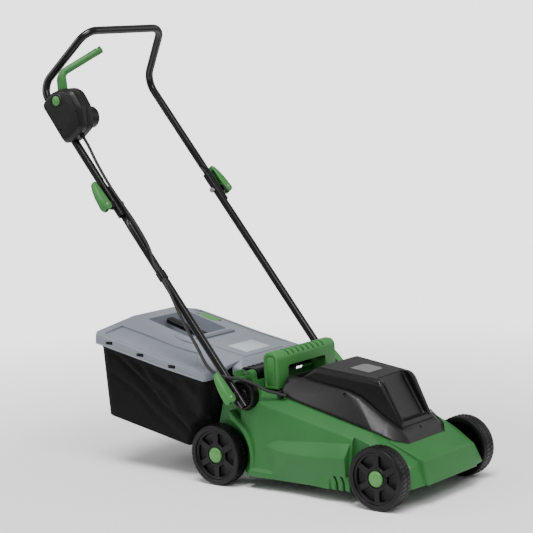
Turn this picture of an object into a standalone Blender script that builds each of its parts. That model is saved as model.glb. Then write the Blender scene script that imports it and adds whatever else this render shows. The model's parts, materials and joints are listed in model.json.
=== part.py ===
"""Corded rotary lawn mower: deck, motor, four wheels, grass box and folding handle. Metres, +Z up.

The front faces -Y and the user stands at +Y. Shapes are laid out from the point on the ground midway
under the front axle, and one empty shifts them all so that the origin lies under the middle of the mower.
"""

import math

import bmesh
import bpy
from mathutils import Matrix, Vector

# Driving dimensions
FRONT_AXLE_Y = -0.4258
WHEELBASE = 0.4445
WHEEL_R = 0.070
WHEEL_INNER_X = 0.151
AXLE_R = 0.005
GAP = 0.0003

TUBE_R = 0.0095
TUBE_WALL = 0.0012
UPPER_X = 0.1895
LOWER_X = 0.1827
JOINT_PLANE_X = 0.1870
HANDLE_ANGLE = math.radians(51.1)
LOWER_PIVOT = Vector((0.0, 0.373, 0.214))
LOWER_TUBE_LENGTH = 0.5448
SWITCH_DISTANCE = 0.8173
GRIP_BEND_DISTANCE = 0.8956
GRIP_CORNER = Vector((0.1335, 0.831, 1.043))

DECK_WALL = 0.003
WHEEL_WELL_X = 0.147
BLADE_Y = 0.172
BLADE_R = 0.150
MOTOR_R = 0.046
FLAP_AXIS = Vector((0.0, 0.3685, 0.2565))
BAIL_AXIS = Vector((0.0, 0.864, 0.882))

ALONG = Vector((0.0, math.cos(HANDLE_ANGLE), math.sin(HANDLE_ANGLE)))
FORWARD = Vector((0.0, -math.sin(HANDLE_ANGLE), math.cos(HANDLE_ANGLE)))
UPPER_PIVOT = LOWER_PIVOT + ALONG * LOWER_TUBE_LENGTH
SWITCH_START = LOWER_PIVOT + ALONG * SWITCH_DISTANCE

GREEN = (0.10, 0.27, 0.095)
BLACK = (0.012, 0.012, 0.013)
COVER_GREY = (0.045, 0.044, 0.046)
LID_GREY = (0.37, 0.40, 0.44)
STEEL = (0.55, 0.56, 0.58)


# Scene, materials and collections

def clear_scene():
    for obj in list(bpy.data.objects):
        bpy.data.objects.remove(obj, do_unlink=True)


def new_collection(name):
    collection = bpy.data.collections.new(name)
    bpy.context.scene.collection.children.link(collection)
    return collection


def material(name, colour, roughness=0.5, metallic=0.0):
    made = bpy.data.materials.new(name)
    made.use_nodes = True
    shader = made.node_tree.nodes["Principled BSDF"]
    shader.inputs["Base Color"].default_value = (*colour, 1.0)
    shader.inputs["Roughness"].default_value = roughness
    shader.inputs["Metallic"].default_value = metallic
    made.diffuse_color = (*colour, 1.0)
    return made


clear_scene()
PARTS = new_collection("lawn_mower")
CUTTERS = new_collection("cutters")
FRAME = bpy.data.objects.new("frame_origin", None)
FRAME.location = (0.0, FRONT_AXLE_Y, 0.0)
PARTS.objects.link(FRAME)


# Shapes. Every helper returns an object outside the parts collection until part() takes it.

def as_object(name, mesh):
    obj = bpy.data.objects.new(name, mesh)
    CUTTERS.objects.link(obj)
    obj.parent = FRAME
    obj.hide_render = True
    obj.display_type = "WIRE"
    return obj


def from_bmesh(name, shape):
    bmesh.ops.recalc_face_normals(shape, faces=shape.faces)
    mesh = bpy.data.meshes.new(name)
    shape.to_mesh(mesh)
    shape.free()
    return as_object(name, mesh)


def box(low, high, name="box"):
    shape = bmesh.new()
    bmesh.ops.create_cube(shape, size=1.0)
    low, high = Vector(low), Vector(high)
    size = high - low
    bmesh.ops.scale(shape, vec=size, verts=shape.verts)
    bmesh.ops.translate(shape, vec=(low + high) / 2, verts=shape.verts)
    return from_bmesh(name, shape)


def both_sides(low, high):
    """Two boxes, one on each side of the middle plane."""
    shape = bmesh.new()
    for side in (1, -1):
        made = bmesh.ops.create_cube(shape, size=1.0)["verts"]
        size = Vector(high) - Vector(low)
        middle = (Vector(low) + Vector(high)) / 2
        middle.x *= side
        bmesh.ops.scale(shape, vec=size, verts=made)
        bmesh.ops.translate(shape, vec=middle, verts=made)
    return from_bmesh("pair", shape)


def cylinder(start, end, radius, sides=24, end_radius=None, name="cylinder"):
    shape = bmesh.new()
    start, end = Vector(start), Vector(end)
    run = end - start
    bmesh.ops.create_cone(
        shape,
        cap_ends=True,
        segments=sides,
        radius1=radius,
        radius2=radius if end_radius is None else end_radius,
        depth=run.length,
    )
    turn = Vector((0, 0, 1)).rotation_difference(run).to_matrix().to_4x4()
    bmesh.ops.transform(shape, matrix=Matrix.Translation((start + end) / 2) @ turn, verts=shape.verts)
    return from_bmesh(name, shape)


def hull(points, mirrored=True, name="hull"):
    """The convex solid round the points, and round their mirror images across the middle plane."""
    shape = bmesh.new()
    for x, y, z in points:
        shape.verts.new((x, y, z))
        if mirrored and abs(x) > 1e-6:
            shape.verts.new((-x, y, z))
    made = bmesh.ops.convex_hull(shape, input=shape.verts)
    spare = [item for item in made["geom_interior"] + made["geom_unused"] if isinstance(item, bmesh.types.BMVert)]
    bmesh.ops.delete(shape, geom=list(set(spare)), context="VERTS")
    bmesh.ops.dissolve_limit(shape, angle_limit=math.radians(0.5), verts=shape.verts, edges=shape.edges)
    return from_bmesh(name, shape)


def prism(outline, low, high, axis="X"):
    """A flat outline filled and raised along an axis, from low to high. The outline is (y, z) for X."""
    places = {
        "X": lambda a, b, h: (h, a, b),
        "Y": lambda a, b, h: (a, h, b),
        "Z": lambda a, b, h: (a, b, h),
    }[axis]
    shape = bmesh.new()
    bottom = shape.faces.new([shape.verts.new(places(a, b, low)) for a, b in outline])
    raised = bmesh.ops.extrude_face_region(shape, geom=[bottom])["geom"]
    verts = [item for item in raised if isinstance(item, bmesh.types.BMVert)]
    bmesh.ops.translate(shape, vec=places(0, 0, high - low), verts=verts)
    return from_bmesh("prism", shape)


def turned(profile, steps=24, closed=True, name="turned"):
    """A profile of (radius, height) turned about local Z. It runs down the outer side first."""
    mesh = bpy.data.meshes.new(name)
    edges = [(i, i + 1) for i in range(len(profile) - 1)]
    if closed:
        edges.append((len(profile) - 1, 0))
    mesh.from_pydata([(r, 0.0, h) for r, h in profile], edges, [])
    obj = as_object(name, mesh)
    screw = obj.modifiers.new("turn", "SCREW")
    screw.steps = steps
    screw.render_steps = steps
    screw.use_merge_vertices = True
    screw.merge_threshold = 0.00001
    return obj


def route(name, points, radius, resolution=2, cyclic=False, caps=True):
    """A round bar or wire along the points."""
    curve = bpy.data.curves.new(name, "CURVE")
    curve.dimensions = "3D"
    curve.bevel_depth = radius
    curve.bevel_resolution = resolution
    curve.use_fill_caps = caps
    spline = curve.splines.new("POLY")
    spline.points.add(len(points) - 1)
    for place, point in zip(spline.points, points):
        place.co = (*point, 1.0)
    spline.use_cyclic_u = cyclic
    return as_object(name, curve)


def baked(obj):
    """The object as a plain mesh with its modifiers applied and its caps welded."""
    bpy.context.view_layer.update()
    graph = bpy.context.evaluated_depsgraph_get()
    mesh = bpy.data.meshes.new_from_object(obj.evaluated_get(graph))
    shape = bmesh.new()
    shape.from_mesh(mesh)
    bmesh.ops.remove_doubles(shape, verts=shape.verts, dist=0.00001)
    shape.to_mesh(mesh)
    shape.free()
    plain = as_object(obj.name, mesh)
    plain.location = obj.location
    plain.rotation_euler = obj.rotation_euler
    bpy.data.objects.remove(obj, do_unlink=True)
    return plain


def boolean(obj, other, operation):
    modifier = obj.modifiers.new(operation.lower(), "BOOLEAN")
    modifier.operation = operation
    modifier.object = other
    return obj


def cut(obj, *others):
    for other in others:
        boolean(obj, other, "DIFFERENCE")
    return obj


def join(obj, *others):
    for other in others:
        boolean(obj, other, "UNION")
    return obj


def bevelled(obj, width, segments=1, angle=30):
    modifier = obj.modifiers.new("rounding", "BEVEL")
    modifier.width = width
    modifier.segments = segments
    modifier.limit_method = "ANGLE"
    modifier.angle_limit = math.radians(angle)
    return obj


def part(obj, name, look, pivot=None):
    """Makes the object a part: named, smooth, with its own material and its origin on its joint axis."""
    if pivot is not None:
        pivot = Vector(pivot)
        obj.data.transform(Matrix.Translation(-pivot))
        obj.location = pivot
    obj.name = name
    obj.data.name = name
    if obj.type == "MESH":
        obj.data.shade_smooth()
        obj.data.set_sharp_from_angle(angle=math.radians(35))
    obj.data.materials.clear()
    own = look.copy()
    own.name = name
    obj.data.materials.append(own)
    CUTTERS.objects.unlink(obj)
    PARTS.objects.link(obj)
    obj.hide_render = False
    obj.display_type = "TEXTURED"
    return obj


def arc(centre, radius, start, end, steps):
    """Points (a, b) along an arc, with its angles in degrees."""
    found = []
    for step in range(steps + 1):
        angle = math.radians(start + (end - start) * step / steps)
        found.append((centre[0] + radius * math.cos(angle), centre[1] + radius * math.sin(angle)))
    return found


def rounded_path(points, radius, steps=5):
    """The path through the points with each inner corner replaced by an arc."""
    found = [Vector(points[0])]
    for before, corner, after in zip(points, points[1:], points[2:]):
        corner = Vector(corner)
        back = (Vector(before) - corner).normalized()
        on = (Vector(after) - corner).normalized()
        half = back.angle(on) / 2
        middle = corner + (back + on).normalized() * (radius / math.sin(half))
        reach = radius / math.tan(half)
        start = corner + back * reach - middle
        end = corner + on * reach - middle
        for step in range(steps + 1):
            found.append(middle + start.slerp(end, step / steps) * radius / start.slerp(end, step / steps).length)
    found.append(Vector(points[-1]))
    return found


def spline_through(points, count):
    """Points at even steps along a smooth Catmull-Rom curve."""
    points = [Vector(p) for p in points]
    points = [2 * points[0] - points[1]] + points + [2 * points[-1] - points[-2]]
    dense = []
    for a, b, c, d in zip(points, points[1:], points[2:], points[3:]):
        for step in range(20):
            t = step / 20
            dense.append(
                0.5 * (2 * b + (c - a) * t + (2 * a - 5 * b + 4 * c - d) * t**2 + (3 * b - a - 3 * c + d) * t**3)
            )
    dense.append(points[-2])
    lengths = [0.0]
    for a, b in zip(dense, dense[1:]):
        lengths.append(lengths[-1] + (b - a).length)
    found = []
    index = 0
    for step in range(count):
        wanted = lengths[-1] * step / (count - 1)
        while index < len(lengths) - 2 and lengths[index + 1] < wanted:
            index += 1
        span = lengths[index + 1] - lengths[index]
        found.append(dense[index].lerp(dense[index + 1], (wanted - lengths[index]) / span))
    return found


def on_handle(x, along, forward, start=LOWER_PIVOT):
    """A point placed along the handle's slope and forward of it."""
    return Vector((x, start.y, start.z)) + ALONG * along + FORWARD * forward


# Deck

DECK_TOP = [
    (0.120, 0.345, 0.2192),
    (0.120, 0.055, 0.1530),
    (0.100, 0.009, 0.1310),
    (0.067, -0.014, 0.1190),
    (0.077, -0.063, 0.0950),
    (0.098, -0.080, 0.0500),
]
DECK_SIDE = [
    (0.155, 0.390, 0.2090),
    (0.155, 0.345, 0.2000),
    (0.155, 0.110, 0.1490),
    (0.155, 0.055, 0.1330),
    (0.144, 0.000, 0.1160),
    (0.128, -0.055, 0.0930),
    (0.146, -0.066, 0.0450),
    (0.172, 0.390, 0.0280),
    (0.172, 0.080, 0.0280),
    (0.120, 0.390, 0.2260),
]


def deck_solid(inset):
    """The deck's outer form, or the same form drawn in by a wall's thickness and left open below."""
    points = []
    for x, y, z in DECK_TOP + DECK_SIDE:
        front = inset if y < 0.0 else 0.0
        rear = 0.010 if inset and y >= 0.390 else 0.0
        points.append((x - inset, y + front + rear, z - inset * 1.1))
    if inset:
        points += [(x, y, -0.010) for x, y, z in points if z < 0.06]
    solid = hull(points)
    well = both_sides((WHEEL_WELL_X - inset, -0.200, -0.100), (0.300, 0.080 + inset, 0.300))
    cut(solid, well)
    for side in (-1, 1):
        edge = side * (WHEEL_WELL_X - inset)
        cut(
            solid,
            cylinder((edge, WHEELBASE, 0.072), (side * 0.3, WHEELBASE, 0.072), 0.088 + inset, 32),
            cylinder(
                (side * (0.149 - inset), LOWER_PIVOT.y, LOWER_PIVOT.z),
                (side * 0.3, LOWER_PIVOT.y, LOWER_PIVOT.z),
                0.0375 + inset,
                24,
            ),
        )
    return solid


def rear_arm(side):
    """The deck's side plate behind the skirt, which carries the rear axle and the handle's bracket."""
    outline = [
        (0.340, 0.036),
        (0.470, 0.036),
        (0.476, 0.070),
        (0.464, 0.130),
        (0.451, 0.180),
        (0.415, 0.238),
        (0.402, 0.247),
        (0.390, 0.262),
        *arc((FLAP_AXIS.y, FLAP_AXIS.z), 0.0105, 30, 180, 5),
        (0.350, 0.225),
        (0.340, 0.200),
    ]
    inner, outer = sorted((side * 0.1300, side * WHEEL_WELL_X))
    return prism(outline, inner, outer)


def comb_tooth(side, index):
    """One of the teeth that lead grass at the edge under the skirt."""
    y = 0.112 - 0.016 * index
    x = 0.1665 + 0.0015 * index
    inner, outer = sorted((side * (x - 0.004), side * (x + 0.0045)))
    return prism([(y, 0.0285), (y + 0.030, 0.0285), (y + 0.030, 0.046), (y + 0.004, 0.050), (y - 0.006, 0.046)], inner, outer)


def side_bulge(side):
    """The shallow almond-shaped swelling pressed into the skirt's side."""
    points = [
        (side * 0.1655, 0.315, 0.106),
        (side * 0.1585, 0.285, 0.124),
        (side * 0.1700, 0.240, 0.100),
        (side * 0.1600, 0.180, 0.112),
        (side * 0.1735, 0.180, 0.088),
        (side * 0.1735, 0.120, 0.088),
        (side * 0.1600, 0.090, 0.098),
        (side * 0.1660, 0.090, 0.070),
        (side * 0.1660, 0.250, 0.066),
    ]
    return hull(points, mirrored=False)


def deck_housing(look):
    deck = deck_solid(0.0)
    inner = deck_solid(DECK_WALL)
    tub = box((-0.090, 0.084, 0.1020), (0.090, 0.268, 0.1640))
    ring = cylinder((0, BLADE_Y, 0.030), (0, BLADE_Y, 0.1050), 0.162, 48)
    cut(ring, cylinder((0, BLADE_Y, 0.020), (0, BLADE_Y, 0.1020), 0.159, 48))
    cut(ring, box((-0.105, 0.268, 0.0), (0.105, 0.400, 0.200)))
    cut(inner, tub, ring)
    cut(deck, inner)
    for side in (-1, 1):
        join(deck, rear_arm(side), side_bulge(side))
        for index in range(3):
            join(deck, comb_tooth(side, index))
    cut(
        deck,
        box((-0.087, 0.087, 0.1050), (0.087, 0.265, 0.300)),
        box((-0.105, 0.262, 0.1000), (0.105, 0.330, 0.1750)),
        box((-0.1300, 0.330, -0.050), (0.1300, 0.3545, 0.2050)),
        box((-0.1300, 0.3588, -0.050), (0.1300, 0.500, 0.3000)),
        cylinder((0, BLADE_Y, 0.05), (0, BLADE_Y, 0.20), 0.016),
        cylinder((-0.3, 0, WHEEL_R), (0.3, 0, WHEEL_R), AXLE_R + GAP, 16),
        cylinder((-0.3, WHEELBASE, WHEEL_R), (0.3, WHEELBASE, WHEEL_R), AXLE_R + GAP, 16),
        cylinder((-0.3, FLAP_AXIS.y, FLAP_AXIS.z), (0.3, FLAP_AXIS.y, FLAP_AXIS.z), 0.0028, 12),
        cylinder((-0.3, LOWER_PIVOT.y, LOWER_PIVOT.z), (0.3, LOWER_PIVOT.y, LOWER_PIVOT.z), 0.0034, 12),
    )
    upstand = [(0.3542, 0.2150), (0.3586, 0.2150), (0.3570, 0.2440), (0.3542, 0.2440)]
    join(deck, prism(upstand, -0.1330, 0.1330))
    return part(baked(deck), "deck_housing", look)


# Motor cover

SKIRT_FOOT = [
    (0.1185, 0.306, 0.2112),
    (0.1185, 0.055, 0.1545),
    (0.0990, 0.0095, 0.1325),
    (0.0665, -0.0135, 0.1203),
]
SKIRT_RIDGE = [
    (0.092, 0.304, 0.250),
    (0.092, 0.256, 0.248),
    (0.090, 0.140, 0.231),
    (0.088, 0.107, 0.219),
    (0.085, 0.084, 0.204),
    (0.080, 0.042, 0.174),
]
SKIRT_NOSE = [
    (0.0990, 0.0095, 0.1325),
    (0.1100, 0.0350, 0.1460),
    (0.0665, -0.0135, 0.1203),
    (0.0670, -0.0080, 0.1280),
    (0.0690, 0.0050, 0.1480),
    (0.0800, 0.0420, 0.1740),
]
HUMP = [
    (0.076, 0.225, 0.276),
    (0.062, 0.067, 0.2575),
    (0.0815, 0.236, 0.264),
    (0.070, 0.060, 0.246),
    (0.0815, 0.302, 0.230),
    (0.0815, 0.302, 0.2145),
    (0.0815, 0.140, 0.1850),
    (0.0740, 0.055, 0.1600),
    (0.0620, 0.009, 0.1535),
    (0.0620, 0.0125, 0.1330),
]


def inset_points(points, wall, drop=0.0):
    """The same points drawn towards the middle by a wall, and lowered at the foot."""
    return [(x - wall, y - wall if y > 0.15 else y + wall * 1.3, z - wall) for x, y, z in points] + [
        (x - wall, y - wall if y > 0.15 else y + wall * 1.3, z - drop) for x, y, z in points if drop
    ]


def cover_opening(grow):
    """The upright space in the skirt that the hump stands in."""
    outline = [
        (0.0630 + grow, 0.0120 - grow),
        (0.0745 + grow, 0.0550),
        (0.0820 + grow, 0.1400),
        (0.0820 + grow, 0.3025),
    ]
    mirror = [(-x, y) for x, y in reversed(outline)]
    return prism(outline + mirror, 0.080, 0.320, "Z")


def front_plate(grow=0.0):
    """The sloping plate at the cover's front, between the hump's two ribs and the skirt's lip."""
    top = [
        (0.0470, 0.0215, 0.1660),
        (0.0615, 0.0085, 0.1530),
        (0.0670, -0.0080, 0.1280),
        (0.0665, -0.0132, 0.1210),
    ]
    under = [(x, y + 0.0020, z - 0.0030) for x, y, z in top]
    return hull([(x + grow, y + dy, z + dz) for x, y, z in top + under for dy in (-grow, grow) for dz in (-grow, grow)])


def cover_skirt(look):
    skirt = hull(SKIRT_FOOT + SKIRT_RIDGE)
    join(skirt, hull(SKIRT_NOSE))
    cut(skirt, hull(inset_points(SKIRT_FOOT, 0.0028, 0.030) + inset_points(SKIRT_RIDGE, 0.0028)))
    cut(skirt, cover_opening(0.0))
    join(skirt, front_plate())
    cut(skirt, deck_solid(-GAP))
    return part(baked(skirt), "cover_skirt", look)


def motor_cover(look):
    cover = hull(HUMP)
    bay = hull(
        [
            (0.047, 0.0780, 0.2640),
            (0.047, 0.0600, 0.2900),
            (0.047, -0.060, 0.2400),
            (0.047, -0.060, 0.1600),
            (0.047, 0.0225, 0.1670),
        ]
    )
    inner = hull(inset_points(HUMP, 0.0028, 0.060))
    backing = hull(
        [
            (0.050, 0.0810, 0.2620),
            (0.050, 0.0255, 0.1670),
            (0.050, 0.0255, 0.1500),
            (0.050, 0.0000, 0.1300),
            (0.050, 0.0000, 0.2900),
        ]
    )
    cut(inner, backing)
    cut(cover, inner, bay, front_plate(0.0005), box((-0.2, -0.1, 0.1), (0.2, 0.0126, 0.1538)), deck_solid(-GAP))
    return part(baked(cover), "motor_cover", look)


def carry_handle(look):
    outline = [
        (0.112, 0.2205),
        *arc((0.084, 0.277), 0.028, 0, 90, 5),
        *[(-x, z) for x, z in reversed(arc((0.084, 0.277), 0.028, 0, 90, 5))],
        (-0.112, 0.2205),
        (-0.072, 0.2205),
        *[(-x, z) for x, z in arc((0.064, 0.264), 0.008, 0, 90, 3)],
        *[(x, z) for x, z in reversed(arc((0.064, 0.264), 0.008, 0, 90, 3))],
        (0.072, 0.2205),
    ]
    handle = bevelled(prism(outline, 0.3135, 0.3535, "Y"), 0.004, 2, 40)
    for index in range(8):
        x = -0.0665 + 0.019 * index
        cut(handle, box((x - 0.0022, 0.300, 0.2985), (x + 0.0022, 0.3345, 0.320)))
    return part(baked(handle), "carry_handle", look)


# Wheels

def wheel_mesh(name):
    web_out, web_in, floor = 0.0345, 0.0205, 0.0245
    profile = [
        (0.0640, 0.0400),
        (0.0690, 0.0375),
        (WHEEL_R, 0.0335),
        (WHEEL_R, 0.0065),
        (0.0690, 0.0025),
        (0.0640, 0.0),
        (0.0585, 0.0),
        (0.0570, web_in),
        (0.0130, web_in),
        (0.0130, 0.0),
        (AXLE_R + GAP, 0.0),
        (AXLE_R + GAP, 0.0332),
        (0.0215, 0.0332),
        (0.0225, web_out),
        (0.0540, web_out),
        (0.0570, 0.0385),
        (0.0590, 0.0400),
    ]
    wheel = turned(profile, steps=36, name=name)
    for index in range(6):
        turn = 60 * index + 30
        pocket = prism(
            arc((0, 0), 0.0265, turn - 17, turn + 17, 2) + arc((0, 0), 0.0510, turn + 22, turn - 22, 4),
            floor,
            0.060,
            "Z",
        )
        cut(wheel, pocket)
    wheel = baked(wheel)
    mesh = wheel.data
    bpy.data.objects.remove(wheel, do_unlink=True)
    return mesh


def wheels(tyre_look, cap_look):
    mesh = wheel_mesh("wheel")
    cap_profile = [(0.0, 0.0405), (0.0120, 0.0400), (0.0175, 0.0385), (0.0195, 0.0362), (0.0195, 0.0336), (0.0, 0.0336)]
    cap = baked(turned(cap_profile, steps=20, closed=False, name="hub_cap"))
    for end, y in (("front", 0.0), ("rear", WHEELBASE)):
        for side, word in ((-1, "near"), (1, "far")):
            for source, kind, look in ((mesh, "wheel", tyre_look), (cap.data, "hub_cap", cap_look)):
                obj = as_object(kind, source.copy())
                obj.rotation_euler = (0.0, side * math.pi / 2, 0.0)
                part(obj, f"{kind}_{end}_{word}", look)
                obj.location = (side * WHEEL_INNER_X, y, WHEEL_R)
        axle_end = WHEEL_INNER_X + 0.0330
        part(
            cylinder((-axle_end, y, WHEEL_R), (axle_end, y, WHEEL_R), AXLE_R, 16),
            f"{end}_axle",
            material(f"{end}_axle", STEEL, 0.35, 1.0),
        )
    bpy.data.objects.remove(cap, do_unlink=True)


# Motor and blade

def drive(motor_look, steel_look, black_look):
    shaft_r = 0.004
    bore = shaft_r + GAP
    motor = turned(
        [
            (0.034, 0.2120),
            (MOTOR_R, 0.2000),
            (MOTOR_R, 0.1180),
            (0.056, 0.1150),
            (0.056, 0.1056),
            (bore, 0.1056),
            (bore, 0.2120),
        ],
        28,
    )
    motor.location = (0, BLADE_Y, 0)
    part(baked(motor), "motor", motor_look)
    part(cylinder((0, BLADE_Y, 0.0530), (0, BLADE_Y, 0.2180), shaft_r, 16), "motor_shaft", steel_look)
    carrier = turned(
        [(0.012, 0.0900), (0.012, 0.0680), (0.058, 0.0660), (0.058, 0.0630), (0.020, 0.0610), (0.016, 0.0520), (bore, 0.0520), (bore, 0.0900)],
        28,
    )
    carrier.location = (0, BLADE_Y, 0)
    part(baked(carrier), "blade_carrier", black_look)
    blade = box((-BLADE_R, BLADE_Y - 0.0225, 0.0482), (BLADE_R, BLADE_Y + 0.0225, 0.0512))
    cut(blade, cylinder((0, BLADE_Y, 0.04), (0, BLADE_Y, 0.06), 0.0043, 16))
    part(baked(blade), "blade", steel_look)
    bolt = cylinder((0, BLADE_Y, 0.0415), (0, BLADE_Y, 0.0478), 0.0075, 6)
    join(bolt, cylinder((0, BLADE_Y, 0.0450), (0, BLADE_Y, 0.0526), 0.0038, 16))
    part(baked(bolt), "blade_bolt", steel_look)
    part(
        bevelled(cylinder((0.060, 0.232, 0.1200), (0.060, 0.232, 0.1800), 0.0140, 20), 0.002, 1, 50),
        "capacitor",
        material("capacitor", (0.75, 0.75, 0.72), 0.5),
    )


# Rear flap

def flap(black_look, steel_look):
    y, z = FLAP_AXIS.y, FLAP_AXIS.z
    barrel = cylinder((-0.1240, y, z), (0.1240, y, z), 0.0108, 20)
    plate = prism(
        [(y + 0.002, z + 0.0103), (y + 0.002, z + 0.0073), (0.4135, 0.2608), (0.4135, 0.2634)],
        -0.1160,
        0.1160,
    )
    join(barrel, plate)
    cut(
        barrel,
        cylinder((-0.2, y, z), (0.2, y, z), 0.0028, 12),
        box((-0.0400, y - 0.02, z - 0.02), (-0.0240, y + 0.02, z + 0.0065)),
    )
    part(baked(barrel), "rear_flap", black_look, FLAP_AXIS)
    part(cylinder((-0.1460, y, z), (0.1460, y, z), 0.0025, 12), "flap_rod", steel_look)
    turns, per_turn = 5, 10
    coil = [
        Vector((-0.0385 + 0.0130 * i / (turns * per_turn), y + 0.0042 * math.cos(a), z + 0.0042 * math.sin(a)))
        for i in range(turns * per_turn + 1)
        for a in [2 * math.pi * i / per_turn]
    ]
    part(route("flap_spring", coil, 0.0006, 1), "flap_spring", steel_look)


# Grass box. Its rim is wide behind the handle tubes, and its tongue reaches forward between them.

BOX_HALF = 0.190
RIM_TOP = [(BOX_HALF, 0.801, 0.3300), (BOX_HALF, 0.600, 0.2850), (BOX_HALF, 0.462, 0.2590)]
RIM_FOOT = [(BOX_HALF, 0.803, 0.3030), (BOX_HALF, 0.600, 0.2620), (BOX_HALF, 0.462, 0.2380)]


def lid_rear_points():
    return RIM_TOP[:2] + RIM_FOOT[:2] + [
        (0.120, 0.780, 0.3440),
        (0.120, 0.600, 0.3030),
        (0.070, 0.780, 0.3540),
        (0.070, 0.745, 0.3520),
        (0.070, 0.600, 0.3110),
        (0.070, 0.792, 0.3480),
    ]


def lid_front_points():
    return RIM_TOP[1:] + RIM_FOOT[1:] + [
        (0.120, 0.600, 0.3030),
        (0.070, 0.600, 0.3110),
        (0.112, 0.530, 0.2890),
        (0.090, 0.432, 0.2790),
    ]


TONGUE = [
    (0.116, 0.470, 0.2380),
    (0.116, 0.470, 0.2700),
    (0.090, 0.4325, 0.2780),
    (0.108, 0.4200, 0.2600),
    (0.108, 0.4200, 0.2480),
]
LEDGE = [
    (0.112, 0.3860, 0.2500),
    (0.112, 0.3860, 0.2565),
    (0.112, 0.4200, 0.2603),
    (0.112, 0.4400, 0.2610),
    (0.112, 0.4400, 0.2480),
]


def draw_in(points, wall, middle_y=0.60):
    """Points moved inwards by a wall, with the foot lowered so that the shell is open below."""
    found = []
    for x, y, z in points:
        shift = -wall if y > middle_y + 0.1 else (wall if y < middle_y - 0.1 else 0.0)
        found.append((x - wall, y + shift, z - wall))
        found.append((x - wall, y + shift, z - 0.060))
    return found


def grass_box(lid_look, bag_look, black_look, green_look, steel_look):
    wall = 0.0026
    lid = hull(lid_rear_points())
    join(lid, hull(lid_front_points()), hull(TONGUE), hull(LEDGE))
    join(lid, box((-0.0735, 0.6035, 0.2660), (0.0735, 0.7385, 0.3050)))
    well = box((-0.0735, 0.6035, 0.2660), (0.0735, 0.7385, 0.4000))
    hollow_rear = hull(draw_in(lid_rear_points(), wall, 0.5))
    hollow_front = hull(draw_in(lid_front_points(), wall, 0.60))
    ledge = box((-0.3, 0.380, 0.0), (0.3, 0.4300, 0.2490))
    cut(hollow_rear, well)
    cut(hollow_front, well)
    cut(lid, hollow_rear, hollow_front, ledge)
    cut(lid, box((-0.0710, 0.6060, 0.2690), (0.0710, 0.7360, 0.4000)))
    window = prism([(0.0815, 0.660), (0.1165, 0.660), (0.1165, 0.7180), (0.0815, 0.7180)], 0.20, 0.40, "Z")
    cut(lid, window)
    part(baked(lid), "box_lid", lid_look)

    slope = math.atan2(0.3520 - 0.3110, 0.145)
    grip = bevelled(box((-0.0110, -0.0620, -0.0070), (0.0110, 0.0620, 0.0070)), 0.003, 1)
    grip.rotation_euler = (slope, 0.0, 0.0)
    grip.location = (0.0, 0.671, 0.3190)
    part(grip, "box_grip", black_look)

    hinge = Vector((0.0, 0.7165, 0.3360))
    drop = math.radians(13)
    indicator = prism(
        [
            (hinge.y, hinge.z),
            (hinge.y, hinge.z - 0.0024),
            (hinge.y - 0.0550, hinge.z - 0.0024 - 0.0550 * math.tan(drop)),
            (hinge.y - 0.0550, hinge.z - 0.0550 * math.tan(drop)),
        ],
        0.0822,
        0.1158,
    )
    part(indicator, "fill_indicator", green_look, hinge)

    outer = [
        (0.180, 0.7970, 0.3000),
        (0.180, 0.6000, 0.2595),
        (0.180, 0.4620, 0.2365),
        (0.178, 0.7990, 0.2720),
        (0.172, 0.7980, 0.1300),
        (0.166, 0.7900, 0.1220),
        (0.170, 0.6200, 0.0900),
        (0.166, 0.4900, 0.0660),
        (0.170, 0.4860, 0.0750),
        (0.178, 0.4600, 0.2000),
    ]
    bag = hull(outer)
    points = [(x - 0.003, y - 0.003 if y > 0.65 else y + 0.003 if y < 0.5 else y, z + 0.003) for x, y, z in outer]
    inside = hull(points + [(0.176, 0.793, 0.340), (0.176, 0.466, 0.260)])
    cut(inside, both_sides((0.1430, 0.300, -0.100), (0.300, 0.5250, 0.1500)))
    cut(
        bag,
        both_sides((0.1460, 0.300, -0.100), (0.300, 0.5220, 0.1470)),
        inside,
        box((-0.1120, 0.400, 0.0950), (0.1120, 0.500, 0.3000)),
    )
    part(baked(bag), "grass_bag", bag_look)

    corners = [
        (0.1380, 0.5050, 0.0790),
        (0.1580, 0.7790, 0.1340),
        (-0.1580, 0.7790, 0.1340),
        (-0.1380, 0.5050, 0.0790),
    ]
    loop = rounded_path([*corners, corners[0], corners[1]], 0.018, 3)[1:-1]
    loop = loop[: 4 * 4]
    part(route("bag_frame", loop, 0.0020, 1, cyclic=True), "bag_frame", steel_look)


# Handle

def pressed_tube(name, points, clamp):
    """An open-ended tube along the points, with the stretches that clamp() moves pressed flat."""
    bar = baked(route(name, points, TUBE_R, 3, caps=False))
    for vertex in bar.data.vertices:
        vertex.co.x = clamp(vertex.co)
    wall = bar.modifiers.new("wall", "SOLIDIFY")
    wall.thickness = TUBE_WALL
    wall.offset = -1.0
    return bar


def joint_hole(pivot):
    return cylinder((-0.3, pivot.y, pivot.z), (0.3, pivot.y, pivot.z), 0.0033, 12)


def lower_tubes(look):
    low, high = -0.030, LOWER_TUBE_LENGTH + 0.048
    flat_from = LOWER_TUBE_LENGTH - 0.045
    for side, word in ((-1, "near"), (1, "far")):
        stations = [low, 0.0, 0.2, flat_from - 0.012, flat_from, LOWER_TUBE_LENGTH, high]
        points = [on_handle(side * LOWER_X, s, 0.0) for s in stations]

        def clamp(place, side=side):
            s = (place - LOWER_PIVOT).dot(ALONG)
            limit = JOINT_PLANE_X - GAP
            return side * min(abs(place.x), limit) if s > flat_from - 0.002 else place.x

        tube = pressed_tube("lower_tube", points, clamp)
        cut(
            tube,
            joint_hole(UPPER_PIVOT),
            joint_hole(LOWER_PIVOT),
        )
        part(baked(tube), f"lower_tube_{word}", look, LOWER_PIVOT)


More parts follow.
